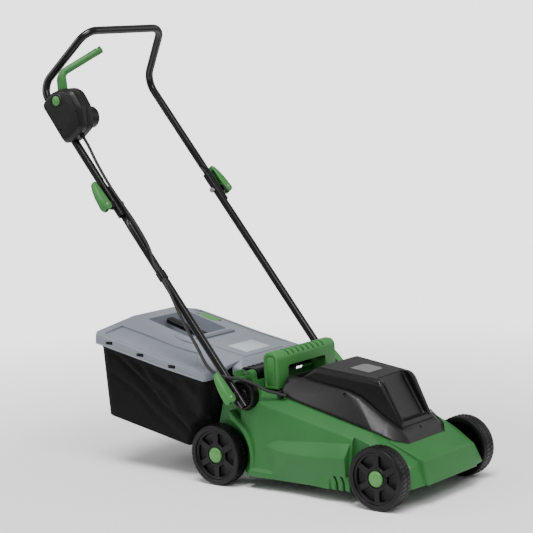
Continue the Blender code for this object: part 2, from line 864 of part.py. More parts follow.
def upper_handle(look):
    bend = on_handle(UPPER_X, GRIP_BEND_DISTANCE, 0.0)
    start = on_handle(UPPER_X, LOWER_TUBE_LENGTH - 0.033, 0.0)
    half = rounded_path([start, bend, GRIP_CORNER, Vector((0, GRIP_CORNER.y, GRIP_CORNER.z))], 0.045, 6)[:-1]
    steps = [LOWER_TUBE_LENGTH, LOWER_TUBE_LENGTH + 0.056, LOWER_TUBE_LENGTH + 0.070, LOWER_TUBE_LENGTH + 0.150]
    half[1:1] = [on_handle(UPPER_X, s, 0.0) for s in steps]
    mirror = [Vector((-p.x, p.y, p.z)) for p in reversed(half)]

    def clamp(place):
        s = (place - LOWER_PIVOT).dot(ALONG)
        flat = s < LOWER_TUBE_LENGTH + 0.058 and abs(place.x) > 0.17
        side = 1 if place.x > 0 else -1
        return side * max(abs(place.x), JOINT_PLANE_X + GAP) if flat else place.x

    tube = pressed_tube("upper_handle", half + mirror, clamp)
    cut(tube, joint_hole(UPPER_PIVOT))
    part(baked(tube), "upper_handle", look, UPPER_PIVOT)


def clamp_lever(side):
    """A cam lever in its closed position, its cross pin at the local origin and its tip up along Z.

    Local X points outwards from the mower and local Y across the tube.
    """
    lever = hull(
        [
            *[(x, y, z) for x, z in arc((0, 0), 0.0123, 175, 350, 6) for y in (-0.0100, 0.0100)],
            (0.0125, -0.0100, 0.0090),
            (0.0125, 0.0100, 0.0090),
            (-0.0120, -0.0100, 0.0120),
            (-0.0120, 0.0100, 0.0120),
            (0.0020, -0.0070, 0.0620),
            (0.0020, 0.0070, 0.0620),
            (-0.0060, -0.0060, 0.0680),
            (-0.0060, 0.0060, 0.0680),
            (-0.0120, -0.0070, 0.0600),
            (-0.0120, 0.0070, 0.0600),
        ],
        mirrored=False,
    )
    slot = box((-0.0500, -0.0037, -0.0500), (0.0062, 0.0037, 0.0062))
    trough = box((-0.0500, -0.0045, 0.0125), (-0.0045, 0.0045, 0.0540))
    hole = cylinder((0, -0.05, 0), (0, 0.05, 0), 0.0024, 12)
    for cutter in (slot, trough, hole):
        cut(lever, cutter)
    lever = baked(lever)
    mesh = lever.data
    if side < 0:
        mesh.transform(Matrix.Diagonal((-1, 1, 1, 1)))
        mesh.flip_normals()
    bpy.data.objects.remove(lever, do_unlink=True)
    return mesh


def clamps(green_look, steel_look, black_look):
    """The four cam levers with their bolts, cross pins and saddles."""
    tilt = Matrix((Vector((1, 0, 0)), -FORWARD, ALONG)).transposed().to_euler()
    for side, word in ((-1, "near"), (1, "far")):
        mesh = clamp_lever(side)
        for level, pivot, pin_x, tube_outer, head_x in (
            ("upper", UPPER_PIVOT, 0.2220, UPPER_X + TUBE_R, 0.1640),
            ("lower", LOWER_PIVOT, 0.2150, LOWER_X + TUBE_R, 0.1220),
        ):
            centre = Vector((side * pin_x, pivot.y, pivot.z))
            name = f"{level}_{word}"
            lever = as_object("lever", mesh.copy())
            part(lever, f"clamp_lever_{name}", green_look)
            lever.location = centre
            lever.rotation_euler = tilt
            part(
                cylinder(centre - FORWARD * 0.0098, centre + FORWARD * 0.0098, 0.0021, 12),
                f"clamp_pin_{name}",
                steel_look,
            )
            bolt = cylinder(
                (side * (head_x + 0.003), pivot.y, pivot.z),
                (side * (pin_x + 0.0045), pivot.y, pivot.z),
                0.0030,
                12,
            )
            head = cylinder(
                (side * head_x, pivot.y, pivot.z),
                (side * (head_x + 0.0045), pivot.y, pivot.z),
                0.0065,
                12,
            )
            join(bolt, head)
            cut(bolt, cylinder(centre - FORWARD * 0.02, centre + FORWARD * 0.02, 0.0024, 12))
            part(baked(bolt), f"clamp_bolt_{name}", steel_look)
            saddle = cylinder(
                (side * (tube_outer + GAP), pivot.y, pivot.z),
                (side * (pin_x - 0.0127), pivot.y, pivot.z),
                0.0115,
                16,
                0.0095,
            )
            cut(
                saddle,
                cylinder((-0.3, pivot.y, pivot.z), (0.3, pivot.y, pivot.z), 0.0033, 12),
            )
            part(baked(saddle), f"clamp_saddle_{name}", black_look)


def pivot_brackets(look):
    """The black discs on the deck that the lower tubes turn against."""
    for side, word in ((-1, "near"), (1, "far")):
        y, z = LOWER_PIVOT.y, LOWER_PIVOT.z
        disc = bevelled(
            cylinder((side * 0.1494, y, z), (side * (LOWER_X - TUBE_R - GAP), y, z), 0.0340, 28), 0.003, 2, 50
        )
        cut(disc, cylinder((-0.3, y, z), (0.3, y, z), 0.0034, 12))
        part(baked(disc), f"pivot_bracket_{word}", look)


# Switch box on the near tube

SWITCH_PROFILE = [
    (-0.078, -0.0150),
    (-0.087, 0.0080),
    (-0.087, 0.0560),
    (-0.046, 0.0850),
    (-0.002, 0.0890),
    (0.020, 0.0740),
    (0.033, 0.0480),
    (0.041, 0.0240),
    (0.037, -0.0120),
]


def switch_outline(shrink=0.0):
    middle = Vector((-0.022, 0.035))
    found = []
    for s, n in SWITCH_PROFILE:
        place = Vector((s, n))
        place += (middle - place).normalized() * shrink
        point = SWITCH_START + ALONG * place.x + FORWARD * place.y
        found.append((point.y, point.z))
    return found


def switch_box(black_look, green_look, grey_look):
    outer_x, split_x, inner_x = -0.2145, -0.1895, -0.1660
    outer = bevelled(prism(switch_outline(), outer_x, split_x - GAP / 2), 0.005, 2, 30)
    inner = bevelled(prism(switch_outline(), split_x + GAP / 2, inner_x), 0.004, 1, 30)
    y, z = BAIL_AXIS.y, BAIL_AXIS.z
    tube_space = cylinder(
        on_handle(-UPPER_X, 0.60, 0.0), on_handle(-UPPER_X, 0.95, 0.0), TUBE_R + GAP, 20
    )
    hub_space = cylinder((-0.2005, y, z), (-0.1785, y, z), 0.0165, 24)
    sweep = prism(
        [(y - 0.004, z - 0.010), (y + 0.034, z + 0.006), (y + 0.052, z + 0.060), (y - 0.022, z + 0.060)],
        -0.2005,
        -0.1785,
    )
    wiring = prism(switch_outline(0.022), -0.2090, -0.1715)
    gland_space = cylinder(on_handle(-0.190, -0.110, 0.0290, SWITCH_START), on_handle(-0.190, -0.070, 0.0290, SWITCH_START), 0.0063, 16)
    button_space = cylinder((-0.230, y, z), (-0.1990, y, z), 0.0108, 20)
    halves = []
    for half, name, look in ((outer, "switch_case_outer", grey_look), (inner, "switch_case_inner", black_look)):
        cut(half, tube_space, hub_space, sweep, gland_space)
        halves.append((half, name, look))
    cut(outer, button_space)
    for half, name, look in halves:
        part(baked(half), name, look)

    part(
        bevelled(cylinder((-0.2185, y, z), (-0.2050, y, z), 0.0105, 20), 0.0015, 1, 50),
        "safety_button",
        green_look,
        (-0.2120, y, z),
    )

    hub = cylinder((-0.1990, y, z), (-0.1800, y, z), 0.0145, 24)
    knee = Vector((-0.1895, 0.8680, 0.9450))
    tip = Vector((-0.1010, 0.8260, 0.9950))
    path = rounded_path([Vector((-0.1895, 0.8640, 0.8900)), knee, tip], 0.022, 4)
    arm = baked(route("arm", path, 0.0088, 2))
    join(hub, arm)
    end = (tip - knee).normalized()
    join(hub, cylinder(tip - end * 0.004, tip + end * 0.007, 0.0098, 12))
    part(baked(hub), "bail_lever", green_look, BAIL_AXIS)

    inlet_y, inlet_z = 0.8310, 0.8390
    inlet = cylinder((inner_x + GAP, inlet_y, inlet_z), (-0.1300, inlet_y, inlet_z), 0.0240, 28, 0.0225)
    cut(inlet, cylinder((-0.1560, inlet_y, inlet_z), (-0.1200, inlet_y, inlet_z), 0.0195, 28))
    for offset in (-0.0095, 0.0095):
        join(
            inlet,
            cylinder((-0.1580, inlet_y + offset, inlet_z), (-0.1380, inlet_y + offset, inlet_z), 0.0024, 10),
        )
    part(baked(inlet), "plug_inlet", black_look)


# Motor lead: down the near tube, across the joint to the clip, then over the pivot into the deck's seam.

LEAD_R = 0.0036


def lead_route():
    """Points by hand: x, then distance along the handle from its lower pivot and forward of it."""
    upper = [
        on_handle(-0.1900, -0.0900, 0.0290, SWITCH_START),
        on_handle(-0.1900, -0.1200, 0.0275, SWITCH_START),
        on_handle(-0.1890, 0.6500, 0.0200),
        on_handle(-0.1870, 0.5900, 0.0152),
        on_handle(-0.1850, 0.5405, 0.0152),
        on_handle(-0.1840, 0.4800, 0.0170),
        on_handle(-0.1870, 0.4150, 0.0160),
        on_handle(-0.1950, 0.3700, 0.0100),
        on_handle(-0.1962, 0.3520, 0.0090),
        on_handle(-0.1962, 0.3382, 0.0090),
    ]
    lower = [
        on_handle(-0.1962, 0.3370, 0.0090),
        on_handle(-0.1962, 0.3240, 0.0090),
        on_handle(-0.1975, 0.2850, 0.0040),
        on_handle(-0.1985, 0.2100, -0.0080),
        on_handle(-0.1985, 0.1500, -0.0120),
        Vector((-0.2000, 0.4480, 0.2820)),
        Vector((-0.2010, 0.4200, 0.2640)),
        Vector((-0.1930, 0.3920, 0.2570)),
        Vector((-0.1780, 0.3650, 0.2530)),
        Vector((-0.1600, 0.3400, 0.2400)),
        Vector((-0.1480, 0.3200, 0.2265)),
        Vector((-0.1360, 0.3000, 0.2195)),
        Vector((-0.1255, 0.2800, 0.2130)),
    ]
    return upper, lower


def lead(black_look):
    upper, lower = lead_route()
    part(route("lead_upper", spline_through(upper, 34), LEAD_R, 2), "lead_upper", black_look)
    part(route("lead_lower", spline_through(lower, 40), LEAD_R, 2), "lead_lower", black_look)
    gland = cylinder(
        on_handle(-0.190, -0.0895, 0.0290, SWITCH_START),
        on_handle(-0.190, -0.0735, 0.0290, SWITCH_START),
        0.0050,
        16,
        0.0060,
    )
    part(gland, "lead_gland", black_look)
    start = on_handle(-LOWER_X, 0.3275, 0.0)
    end = on_handle(-LOWER_X, 0.3475, 0.0)
    clip = cylinder(start, end, TUBE_R + 0.0020, 20)
    outer_start = on_handle(-0.1962, 0.3275, 0.0090)
    outer_end = on_handle(-0.1962, 0.3475, 0.0090)
    join(clip, cylinder(outer_start, outer_end, LEAD_R + 0.0022, 14))
    cut(
        clip,
        cylinder(start - ALONG * 0.01, end + ALONG * 0.01, TUBE_R + GAP, 20),
        cylinder(outer_start - ALONG * 0.01, outer_end + ALONG * 0.01, LEAD_R + 0.0009, 14),
    )
    part(baked(clip), "lead_clip", black_look)


def build():
    green = material("green", GREEN, 0.45)
    black = material("black", BLACK, 0.5)
    cover = material("cover", COVER_GREY, 0.5)
    steel = material("steel", STEEL, 0.35, 1.0)
    deck_housing(green)
    cover_skirt(cover)
    motor_cover(cover)
    carry_handle(green)
    wheels(black, green)
    drive(material("motor_paint", (0.30, 0.30, 0.31), 0.4, 0.8), steel, black)
    flap(black, steel)
    grass_box(material("lid", LID_GREY, 0.5), material("bag", BLACK, 0.9), black, green, steel)
    lower_tubes(black)
    upper_handle(black)
    clamps(green, steel, black)
    pivot_brackets(black)
    switch_box(black, green, cover)
    lead(black)


build()
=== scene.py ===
import json
import math

import bmesh
import bpy
import numpy as np
from mathutils import Matrix, Vector, noise

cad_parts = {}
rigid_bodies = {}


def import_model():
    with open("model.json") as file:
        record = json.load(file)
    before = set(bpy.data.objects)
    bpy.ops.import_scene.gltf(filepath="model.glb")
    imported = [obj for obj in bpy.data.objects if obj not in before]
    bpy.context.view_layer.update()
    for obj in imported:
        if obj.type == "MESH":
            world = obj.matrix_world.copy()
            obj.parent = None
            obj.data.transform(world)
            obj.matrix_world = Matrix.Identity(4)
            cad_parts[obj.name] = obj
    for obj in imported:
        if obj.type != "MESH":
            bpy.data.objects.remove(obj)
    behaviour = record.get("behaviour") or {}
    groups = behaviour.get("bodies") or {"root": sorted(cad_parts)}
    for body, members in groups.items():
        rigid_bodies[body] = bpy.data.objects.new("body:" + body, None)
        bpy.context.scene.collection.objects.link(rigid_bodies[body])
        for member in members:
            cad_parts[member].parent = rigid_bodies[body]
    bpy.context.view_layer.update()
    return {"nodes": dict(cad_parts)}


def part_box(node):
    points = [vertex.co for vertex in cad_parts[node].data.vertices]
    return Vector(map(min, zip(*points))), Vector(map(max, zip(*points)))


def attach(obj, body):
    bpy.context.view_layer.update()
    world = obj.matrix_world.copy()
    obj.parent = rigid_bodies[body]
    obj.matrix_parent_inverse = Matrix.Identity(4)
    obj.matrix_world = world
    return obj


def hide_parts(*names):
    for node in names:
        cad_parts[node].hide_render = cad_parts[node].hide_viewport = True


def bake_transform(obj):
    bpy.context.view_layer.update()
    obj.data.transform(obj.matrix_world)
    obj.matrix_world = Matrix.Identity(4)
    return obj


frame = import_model()
axleLow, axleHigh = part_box("front_axle")
axleY = (axleLow.y + axleHigh.y) / 2   # shapes are laid out from the ground under the front axle
print("frame loaded, front axle at y", round(axleY, 4))


# camera, light and floor

cameraLook = {
    "place": (-3.3004, -2.1784, 1.0525), "turn": -51.773, "height": 7.717, "roll": 2.219, "lens": 122.85
}


def makeCamera(look):
    turn, height, roll = (math.radians(look[key]) for key in ("turn", "height", "roll"))
    right = Vector((math.cos(turn), math.sin(turn), 0))
    back = Vector((math.sin(turn) * math.cos(height), -math.cos(turn) * math.cos(height), math.sin(height)))
    up = back.cross(right)
    rightRolled = right * math.cos(roll) - up * math.sin(roll)
    upRolled = right * math.sin(roll) + up * math.cos(roll)
    data = bpy.data.cameras.new("camera")
    data.lens = look["lens"]
    data.sensor_width = 36
    data.clip_start = 0.05
    data.clip_end = 60
    camera = bpy.data.objects.new("camera", data)
    bpy.context.scene.collection.objects.link(camera)
    place = Vector(look["place"]) + Vector((0, axleY, 0))
    camera.matrix_world = Matrix.Translation(place) @ Matrix(
        (rightRolled, upRolled, back)
    ).transposed().to_4x4()
    bpy.context.scene.camera = camera


makeCamera(cameraLook)

lightLook = {
    "key": {"place": (-1.4, -3.0, 3.4), "size": 1.8, "power": 60},
    "fill": {"place": (3.0, -2.2, 1.8), "size": 2.4, "power": 18},
    "rear": {"place": (-2.2, 2.4, 2.2), "size": 2.0, "power": 40},
}
skyLook = {"from": (-0.30, -0.18, 1.0), "spread": 30, "strength": 3.0, "ambient": 0.42, "behind": 2.6}


def makeLights(look):
    for name, values in look.items():
        data = bpy.data.lights.new(name + "Light", "AREA")
        data.shape = "SQUARE"
        data.size = values["size"]
        data.energy = values["power"]
        lamp = bpy.data.objects.new(name + "Light", data)
        bpy.context.scene.collection.objects.link(lamp)
        lamp.location = values["place"]
        aim = Vector((0, 0, 0.4)) - lamp.location
        lamp.rotation_euler = aim.to_track_quat("-Z", "Y").to_euler()
    data = bpy.data.lights.new("skyLight", "SUN")
    data.energy = skyLook["strength"]
    data.angle = math.radians(skyLook["spread"])
    sky = bpy.data.objects.new("skyLight", data)
    bpy.context.scene.collection.objects.link(sky)
    sky.rotation_euler = (-Vector(skyLook["from"])).to_track_quat("-Z", "Y").to_euler()
    world = bpy.data.worlds.new("studio")
    bpy.context.scene.world = world
    world.use_nodes = True
    nodes, link = world.node_tree.nodes, world.node_tree.links.new
    # what lights the mower, and what is seen behind it
    ambient, seen = nodes["Background"], nodes.new("ShaderNodeBackground")
    ambient.inputs["Color"].default_value = (1.0, 1.0, 1.0, 1.0)
    ambient.inputs["Strength"].default_value = skyLook["ambient"]
    seen.inputs["Color"].default_value = (1.0, 1.0, 1.0, 1.0)
    seen.inputs["Strength"].default_value = skyLook["behind"]
    rays, mix = nodes.new("ShaderNodeLightPath"), nodes.new("ShaderNodeMixShader")
    link(rays.outputs["Is Camera Ray"], mix.inputs[0])
    link(ambient.outputs[0], mix.inputs[1])
    link(seen.outputs[0], mix.inputs[2])
    link(mix.outputs[0], nodes["World Output"].inputs["Surface"])


makeLights(lightLook)


# shader helpers

class Wire:
    # a socket that can stand in a sum
    def __init__(self, paint, socket):
        self.paint = paint
        self.socket = socket

    def sum(self, operation, first, second, clamp=False):
        return self.paint.add(
            "ShaderNodeMath", {"operation": operation, "use_clamp": clamp}, {0: first, 1: second}
        )

    def __add__(self, other):
        return self.sum("ADD", self, other)

    def __radd__(self, other):
        return self.sum("ADD", other, self)

    def __sub__(self, other):
        return self.sum("SUBTRACT", self, other)

    def __rsub__(self, other):
        return self.sum("SUBTRACT", other, self)

    def __mul__(self, other):
        return self.sum("MULTIPLY", self, other)

    def __rmul__(self, other):
        return self.sum("MULTIPLY", other, self)

    def __truediv__(self, other):
        return self.sum("DIVIDE", self, other)

    def __rtruediv__(self, other):
        return self.sum("DIVIDE", other, self)

    def __pow__(self, other):
        return self.sum("POWER", self, other)

    def above(self, level):
        return self.sum("GREATER_THAN", self, level)

    def held(self):
        return self.sum("ADD", self, 0.0, True)


class Paint:
    def __init__(self, name, fixed):
        self.material = bpy.data.materials.new(name)
        self.material.use_nodes = True
        self.tree = self.material.node_tree
        self.shader = self.tree.nodes["Principled BSDF"]
        for key, value in fixed.items():
            self.shader.inputs[key].default_value = value

    def add(self, kind, settings=None, values=None, output=0):
        node = self.tree.nodes.new(kind)
        for key, value in (settings or {}).items():
            if key == "stops":
                ramp = node.color_ramp
                for element, (position, colour) in zip(ramp.elements, value):
                    element.position = position
                    element.color = colour
            else:
                setattr(node, key, value)
        for key, value in (values or {}).items():
            if isinstance(value, Wire):
                self.tree.links.new(value.socket, node.inputs[key])
            else:
                node.inputs[key].default_value = value
        return Wire(self, node.outputs[output])

    def feed(self, key, wire):
        self.tree.links.new(wire.socket, self.shader.inputs[key])

    def place(self):
        return self.add("ShaderNodeTexCoord", output="Object")

    def noise(self, scale, detail=2.0, vector=None):
        return self.add(
            "ShaderNodeTexNoise", {}, {"Vector": vector or self.place(), "Scale": scale, "Detail": detail},
            "Fac"
        )

    def blend(self, amount, dark, light):
        return self.add(
            "ShaderNodeMix",
            {"data_type": "RGBA"},
            {
                0: amount, 6: (*dark, 1.0) if isinstance(dark, tuple) else dark,
                7: (*light, 1.0) if isinstance(light, tuple) else light
            },
            2,
        )

    def roundedNormal(self, radius):
        return self.add("ShaderNodeBevel", {"samples": 4}, {"Radius": radius})

    def edges(self, rounded, strength):
        flat = self.add("ShaderNodeNewGeometry", output="Normal")
        facing = self.add(
            "ShaderNodeVectorMath", {"operation": "DOT_PRODUCT"}, {0: rounded, 1: flat}, "Value"
        )
        return ((1 - facing) * strength).held()

    def bump(self, height, distance, strength, normal=None):
        values = {"Height": height, "Distance": distance, "Strength": strength}
        if normal is not None:
            values["Normal"] = normal
        return self.add("ShaderNodeBump", {}, values)


def plasticFinish(name, look):
    paint = Paint(name, {"Specular IOR Level": look.get("specular", 0.45)})
    cloud = paint.noise(7.0, 4.0)
    flow = paint.noise(26.0, 3.0)
    grain = paint.noise(look.get("grain", 950.0), 2.0)
    rounded = paint.roundedNormal(look.get("round", 0.0012))
    edge = paint.edges(rounded, 5.0)
    tone = (cloud * 0.55 + flow * 0.25 + grain * 0.2 - 0.5) * 1.4 + 0.5
    body = paint.blend(tone.held(), look["dark"], look["light"])
    # the edge colour is blended onto the rounded edges: partly edge wear, partly a painted highlight
    paint.feed("Base Color", paint.blend(edge * look.get("wearAndHighlight", 0.35), body, look["edge"]))
    paint.feed("Roughness", look["rough"] + (cloud - 0.5) * 0.12 + (grain - 0.5) * 0.1 - edge * 0.08)
    paint.feed("Normal", paint.bump(grain + flow * 0.6, 0.00025, look.get("bump", 0.35), rounded))
    return paint.material


def metalFinish(name, look):
    paint = Paint(name, {"Metallic": 1.0})
    cloud = paint.noise(30.0, 3.0)
    stretched = paint.add(
        "ShaderNodeMapping", {}, {"Vector": paint.place(), "Scale": look.get("brush", (40.0, 900.0, 900.0))}
    )
    streak = paint.noise(1.0, 3.0, stretched)
    paint.feed("Base Color", paint.blend(cloud * 0.5 + streak * 0.5, look["dark"], look["light"]))
    paint.feed("Roughness", look["rough"] + (streak - 0.5) * 0.25)
    paint.feed("Normal", paint.bump(streak, 0.0001, 0.25, paint.roundedNormal(0.0006)))
    return paint.material


def tubeFinish(name, look):
    paint = Paint(name, {"Coat Weight": 0.15, "Coat Roughness": 0.15, "Specular IOR Level": 0.38})
    peel = paint.noise(480.0, 2.0)
    cloud = paint.noise(14.0, 3.0)
    rub = (paint.noise(60.0, 6.0) - 0.62).held() * 2.0
    body = paint.blend(cloud, look["dark"], look["light"])
    paint.feed("Base Color", paint.blend(rub, body, look["edge"]))
    paint.feed("Roughness", look["rough"] + (cloud - 0.5) * 0.1 + rub * 0.2)
    paint.feed("Normal", paint.bump(peel, 0.0003, 0.28, paint.roundedNormal(0.0005)))
    return paint.material


def clothFinish(name, look):
    paint = Paint(name, {"Sheen Weight": 0.03, "Sheen Roughness": 0.5, "Specular IOR Level": 0.12})
    weaveMap = paint.add("ShaderNodeUVMap", {"uv_map": "weave"})
    across = paint.add(
        "ShaderNodeTexWave", {"bands_direction": "X"},
        {"Vector": weaveMap, "Scale": look["threads"], "Distortion": 0.4, "Detail": 1.0}, "Fac"
    )
    along = paint.add(
        "ShaderNodeTexWave", {"bands_direction": "Y"},
        {"Vector": weaveMap, "Scale": look["threads"], "Distortion": 0.4, "Detail": 1.0}, "Fac"
    )
    weave = across * along
    dust = paint.noise(18.0, 5.0)
    tone = (weave * 0.7 + dust * 0.5 - 0.15).held()
    paint.feed("Base Color", paint.blend(tone, look["dark"], look["light"]))
    paint.feed("Roughness", 0.82 + (dust - 0.5) * 0.15)
    paint.feed("Normal", paint.bump(weave + dust * 0.4, 0.0006, 0.5))
    return paint.material


def rubberFinish(name, look):
    paint = Paint(name, {"Specular IOR Level": 0.35})
    run = paint.add("ShaderNodeUVMap", {"uv_map": "run"})
    ribs = paint.add(
        "ShaderNodeTexWave", {"bands_direction": "DIAGONAL"},
        {"Vector": run, "Scale": look["ribs"], "Distortion": 0.3, "Detail": 0.0}, "Fac"
    )
    dust = paint.noise(35.0, 4.0)
    paint.feed("Base Color", paint.blend((ribs * 0.75 + dust * 0.3).held(), look["dark"], look["light"]))
    paint.feed("Roughness", 0.5 + (dust - 0.5) * 0.2)
    paint.feed("Normal", paint.bump(ribs, 0.0006, 0.6))
    return paint.material


# each plastic's edge colour lightens its rounded edges, partly as wear and partly as a painted highlight
green = plasticFinish(
    "greenPlastic",
    {
        "dark": (0.020, 0.112, 0.026), "light": (0.030, 0.148, 0.036), "edge": (0.085, 0.27, 0.075),
        "rough": 0.47, "specular": 0.30
    }
)
brightGreen = plasticFinish(
    "brightGreenPlastic",
    {"dark": (0.060, 0.225, 0.050), "light": (0.085, 0.285, 0.068), "edge": (0.17, 0.42, 0.13), "rough": 0.38}
)
leverGreen = plasticFinish(
    "leverGreenPlastic",
    {
        "dark": (0.035, 0.165, 0.038), "light": (0.052, 0.215, 0.052), "edge": (0.12, 0.33, 0.10),
        "rough": 0.42, "specular": 0.34
    }
)
coverBlack = plasticFinish(
    "coverPlastic",
    {
        "dark": (0.0022, 0.0022, 0.0024), "light": (0.0050, 0.0049, 0.0052), "edge": (0.028, 0.028, 0.030),
        "rough": 0.33, "grain": 1300.0, "bump": 0.5, "specular": 0.30
    }
)
skirtGrey = plasticFinish(
    "skirtPlastic",
    {
        "dark": (0.0052, 0.0047, 0.0052), "light": (0.0096, 0.0088, 0.0096), "edge": (0.040, 0.038, 0.041),
        "rough": 0.37, "grain": 1300.0, "bump": 0.5, "specular": 0.34
    }
)
caseBlack = plasticFinish(
    "casePlastic",
    {
        "dark": (0.0042, 0.0042, 0.0040), "light": (0.0082, 0.0080, 0.0075), "edge": (0.034, 0.034, 0.034),
        "rough": 0.38, "grain": 1300.0, "bump": 0.6, "specular": 0.32
    }
)
smallBlack = plasticFinish(
    "blackPlastic",
    {
        "dark": (0.0014, 0.0014, 0.0016), "light": (0.0036, 0.0036, 0.0039), "edge": (0.022, 0.022, 0.023),
        "rough": 0.35, "specular": 0.28
    }
)
wheelBlack = plasticFinish(
    "wheelPlastic",
    {
        "dark": (0.0014, 0.0014, 0.0016), "light": (0.0038, 0.0038, 0.0040), "edge": (0.020, 0.020, 0.021),
        "rough": 0.40, "grain": 700.0, "wearAndHighlight": 0.6, "specular": 0.28
    }
)
lidGrey = plasticFinish(
    "lidPlastic",
    {
        "dark": (0.185, 0.203, 0.236), "light": (0.230, 0.250, 0.286), "edge": (0.38, 0.41, 0.45),
        "rough": 0.46, "grain": 1000.0, "specular": 0.35
    }
)
# a shaded copy of the lid's grey, used as painted shade on the lid's bar and hook
lidPaintedShade = plasticFinish(
    "lidShadePlastic",
    {"dark": (0.115, 0.125, 0.146), "light": (0.148, 0.160, 0.184), "edge": (0.26, 0.28, 0.31), "rough": 0.46}
)
labelGrey = plasticFinish(
    "labelFilm",
    {
        "dark": (0.125, 0.125, 0.130), "light": (0.150, 0.150, 0.155), "edge": (0.22, 0.22, 0.23),
        "rough": 0.30, "bump": 0.1
    }
)
labelPale = plasticFinish(
    "paleLabelFilm",
    {
        "dark": (0.40, 0.45, 0.49), "light": (0.46, 0.51, 0.55), "edge": (0.56, 0.60, 0.64), "rough": 0.32,
        "bump": 0.1
    }
)
motorPaint = plasticFinish(
    "motorPaint",
    {"dark": (0.18, 0.18, 0.19), "light": (0.25, 0.25, 0.26), "edge": (0.42, 0.42, 0.42), "rough": 0.4}
)
capacitorWhite = plasticFinish(
    "capacitorPlastic",
    {"dark": (0.62, 0.62, 0.59), "light": (0.72, 0.72, 0.69), "edge": (0.80, 0.80, 0.78), "rough": 0.45}
)
tubeBlack = tubeFinish(
    "tubePaint",
    {
        "dark": (0.0028, 0.0028, 0.0028), "light": (0.0050, 0.0050, 0.0050), "edge": (0.015, 0.015, 0.015),
        "rough": 0.19
    }
)
zinc = metalFinish("zincSteel", {"dark": (0.36, 0.37, 0.38), "light": (0.56, 0.56, 0.56), "rough": 0.34})
bladeSteel = metalFinish(
    "bladeSteel",
    {"dark": (0.30, 0.31, 0.32), "light": (0.50, 0.50, 0.51), "rough": 0.38, "brush": (30.0, 1100.0, 600.0)}
)
bagCloth = clothFinish(
    "bagCloth", {"dark": (0.0016, 0.0016, 0.0018), "light": (0.0120, 0.0120, 0.0134), "threads": 260.0}
)
hemCloth = clothFinish(
    "hemTape", {"dark": (0.0016, 0.0016, 0.0016), "light": (0.0080, 0.0080, 0.0085), "threads": 420.0}
)
leadRubber = rubberFinish(
    "leadSheath", {"dark": (0.0040, 0.0040, 0.0040), "light": (0.032, 0.032, 0.034), "ribs": 30.0}
)
print("finishes made")


# mesh helpers: everything is built from the front axle and moved when it becomes a piece

spare = bpy.data.collections.new("spare")
bpy.context.scene.collection.children.link(spare)


def asObject(name, mesh):
    made = bpy.data.objects.new(name, mesh)
    spare.objects.link(made)
    return made


def fromBmesh(name, shape, outward=True):
    if outward:
        bmesh.ops.recalc_face_normals(shape, faces=shape.faces)
    mesh = bpy.data.meshes.new(name)
    shape.to_mesh(mesh)
    shape.free()
    return asObject(name, mesh)


def applied(made):
    bpy.context.view_layer.update()
    graph = bpy.context.evaluated_depsgraph_get()
    mesh = bpy.data.meshes.new_from_object(made.evaluated_get(graph))
    result = asObject(made.name, mesh)
    bpy.data.objects.remove(made, do_unlink=True)
    return result


def softened(made, width, segments=3, angle=20):
    bevel = made.modifiers.new("softEdge", "BEVEL")
    bevel.width = width
    bevel.segments = segments
    bevel.limit_method = "ANGLE"
    bevel.angle_limit = math.radians(angle)
    return applied(made)


def boxShape(low, high):
    shape = bmesh.new()
    bmesh.ops.create_cube(shape, size=1.0)
    low, high = Vector(low), Vector(high)
    bmesh.ops.scale(shape, vec=high - low, verts=shape.verts)
    bmesh.ops.translate(shape, vec=(low + high) / 2, verts=shape.verts)
    return fromBmesh("box", shape)


def rodShape(start, end, radius, sides=40, endRadius=None):
    shape = bmesh.new()
    start, end = Vector(start), Vector(end)
    run = end - start
    bmesh.ops.create_cone(
        shape, cap_ends=True, segments=sides, radius1=radius,
        radius2=radius if endRadius is None else endRadius, depth=run.length
    )
    turn = Vector((0, 0, 1)).rotation_difference(run).to_matrix().to_4x4()
    bmesh.ops.transform(shape, matrix=Matrix.Translation((start + end) / 2) @ turn, verts=shape.verts)
    return fromBmesh("rod", shape)


def hullShape(points, mirrored=True):
    shape = bmesh.new()
    for x, y, z in points:
        shape.verts.new((x, y, z))
        if mirrored and abs(x) > 1e-6:
            shape.verts.new((-x, y, z))
    made = bmesh.ops.convex_hull(shape, input=shape.verts)
    loose = [
        item for item in made["geom_interior"] + made["geom_unused"] if isinstance(item, bmesh.types.BMVert)
    ]
    bmesh.ops.delete(shape, geom=list(set(loose)), context="VERTS")
    bmesh.ops.dissolve_limit(shape, angle_limit=math.radians(0.5), verts=shape.verts, edges=shape.edges)
    return fromBmesh("hull", shape)


def outlineShape(outline, low, high, axis="X"):
    places = {
        "X": lambda a, b, h: (h, a, b), "Y": lambda a, b, h: (a, h, b), "Z": lambda a, b, h: (a, b, h)
    }[axis]
    shape = bmesh.new()
    bottom = shape.faces.new([shape.verts.new(places(a, b, low)) for a, b in outline])
    raised = bmesh.ops.extrude_face_region(shape, geom=[bottom])["geom"]
    bmesh.ops.translate(
        shape, vec=places(0, 0, high - low),
        verts=[item for item in raised if isinstance(item, bmesh.types.BMVert)]
    )
    return fromBmesh("outline", shape)


def turnedShape(profile, steps=64, closed=True):
    # profile of (radius, height) turned round Z
    shape = bmesh.new()
    rings = []
    for radius, height in profile:
        if radius < 1e-6:
            rings.append([shape.verts.new((0, 0, height))])
        else:
            rings.append(
                [
                    shape.verts.new(
                        (
                            radius * math.cos(2 * math.pi * i / steps),
                            radius * math.sin(2 * math.pi * i / steps), height
                        )
                    )
                    for i in range(steps)
                ]
            )
    pairs = list(zip(rings, rings[1:]))
    if closed:
        pairs.append((rings[-1], rings[0]))
    for first, second in pairs:
        for i in range(steps):
            j = (i + 1) % steps
            corners = [
                first[i % len(first)], first[j % len(first)], second[j % len(second)], second[i % len(second)]
            ]
            unique = list(dict.fromkeys(corners))
            if len(unique) > 2:
                shape.faces.new(unique)
    return fromBmesh("turned", shape)


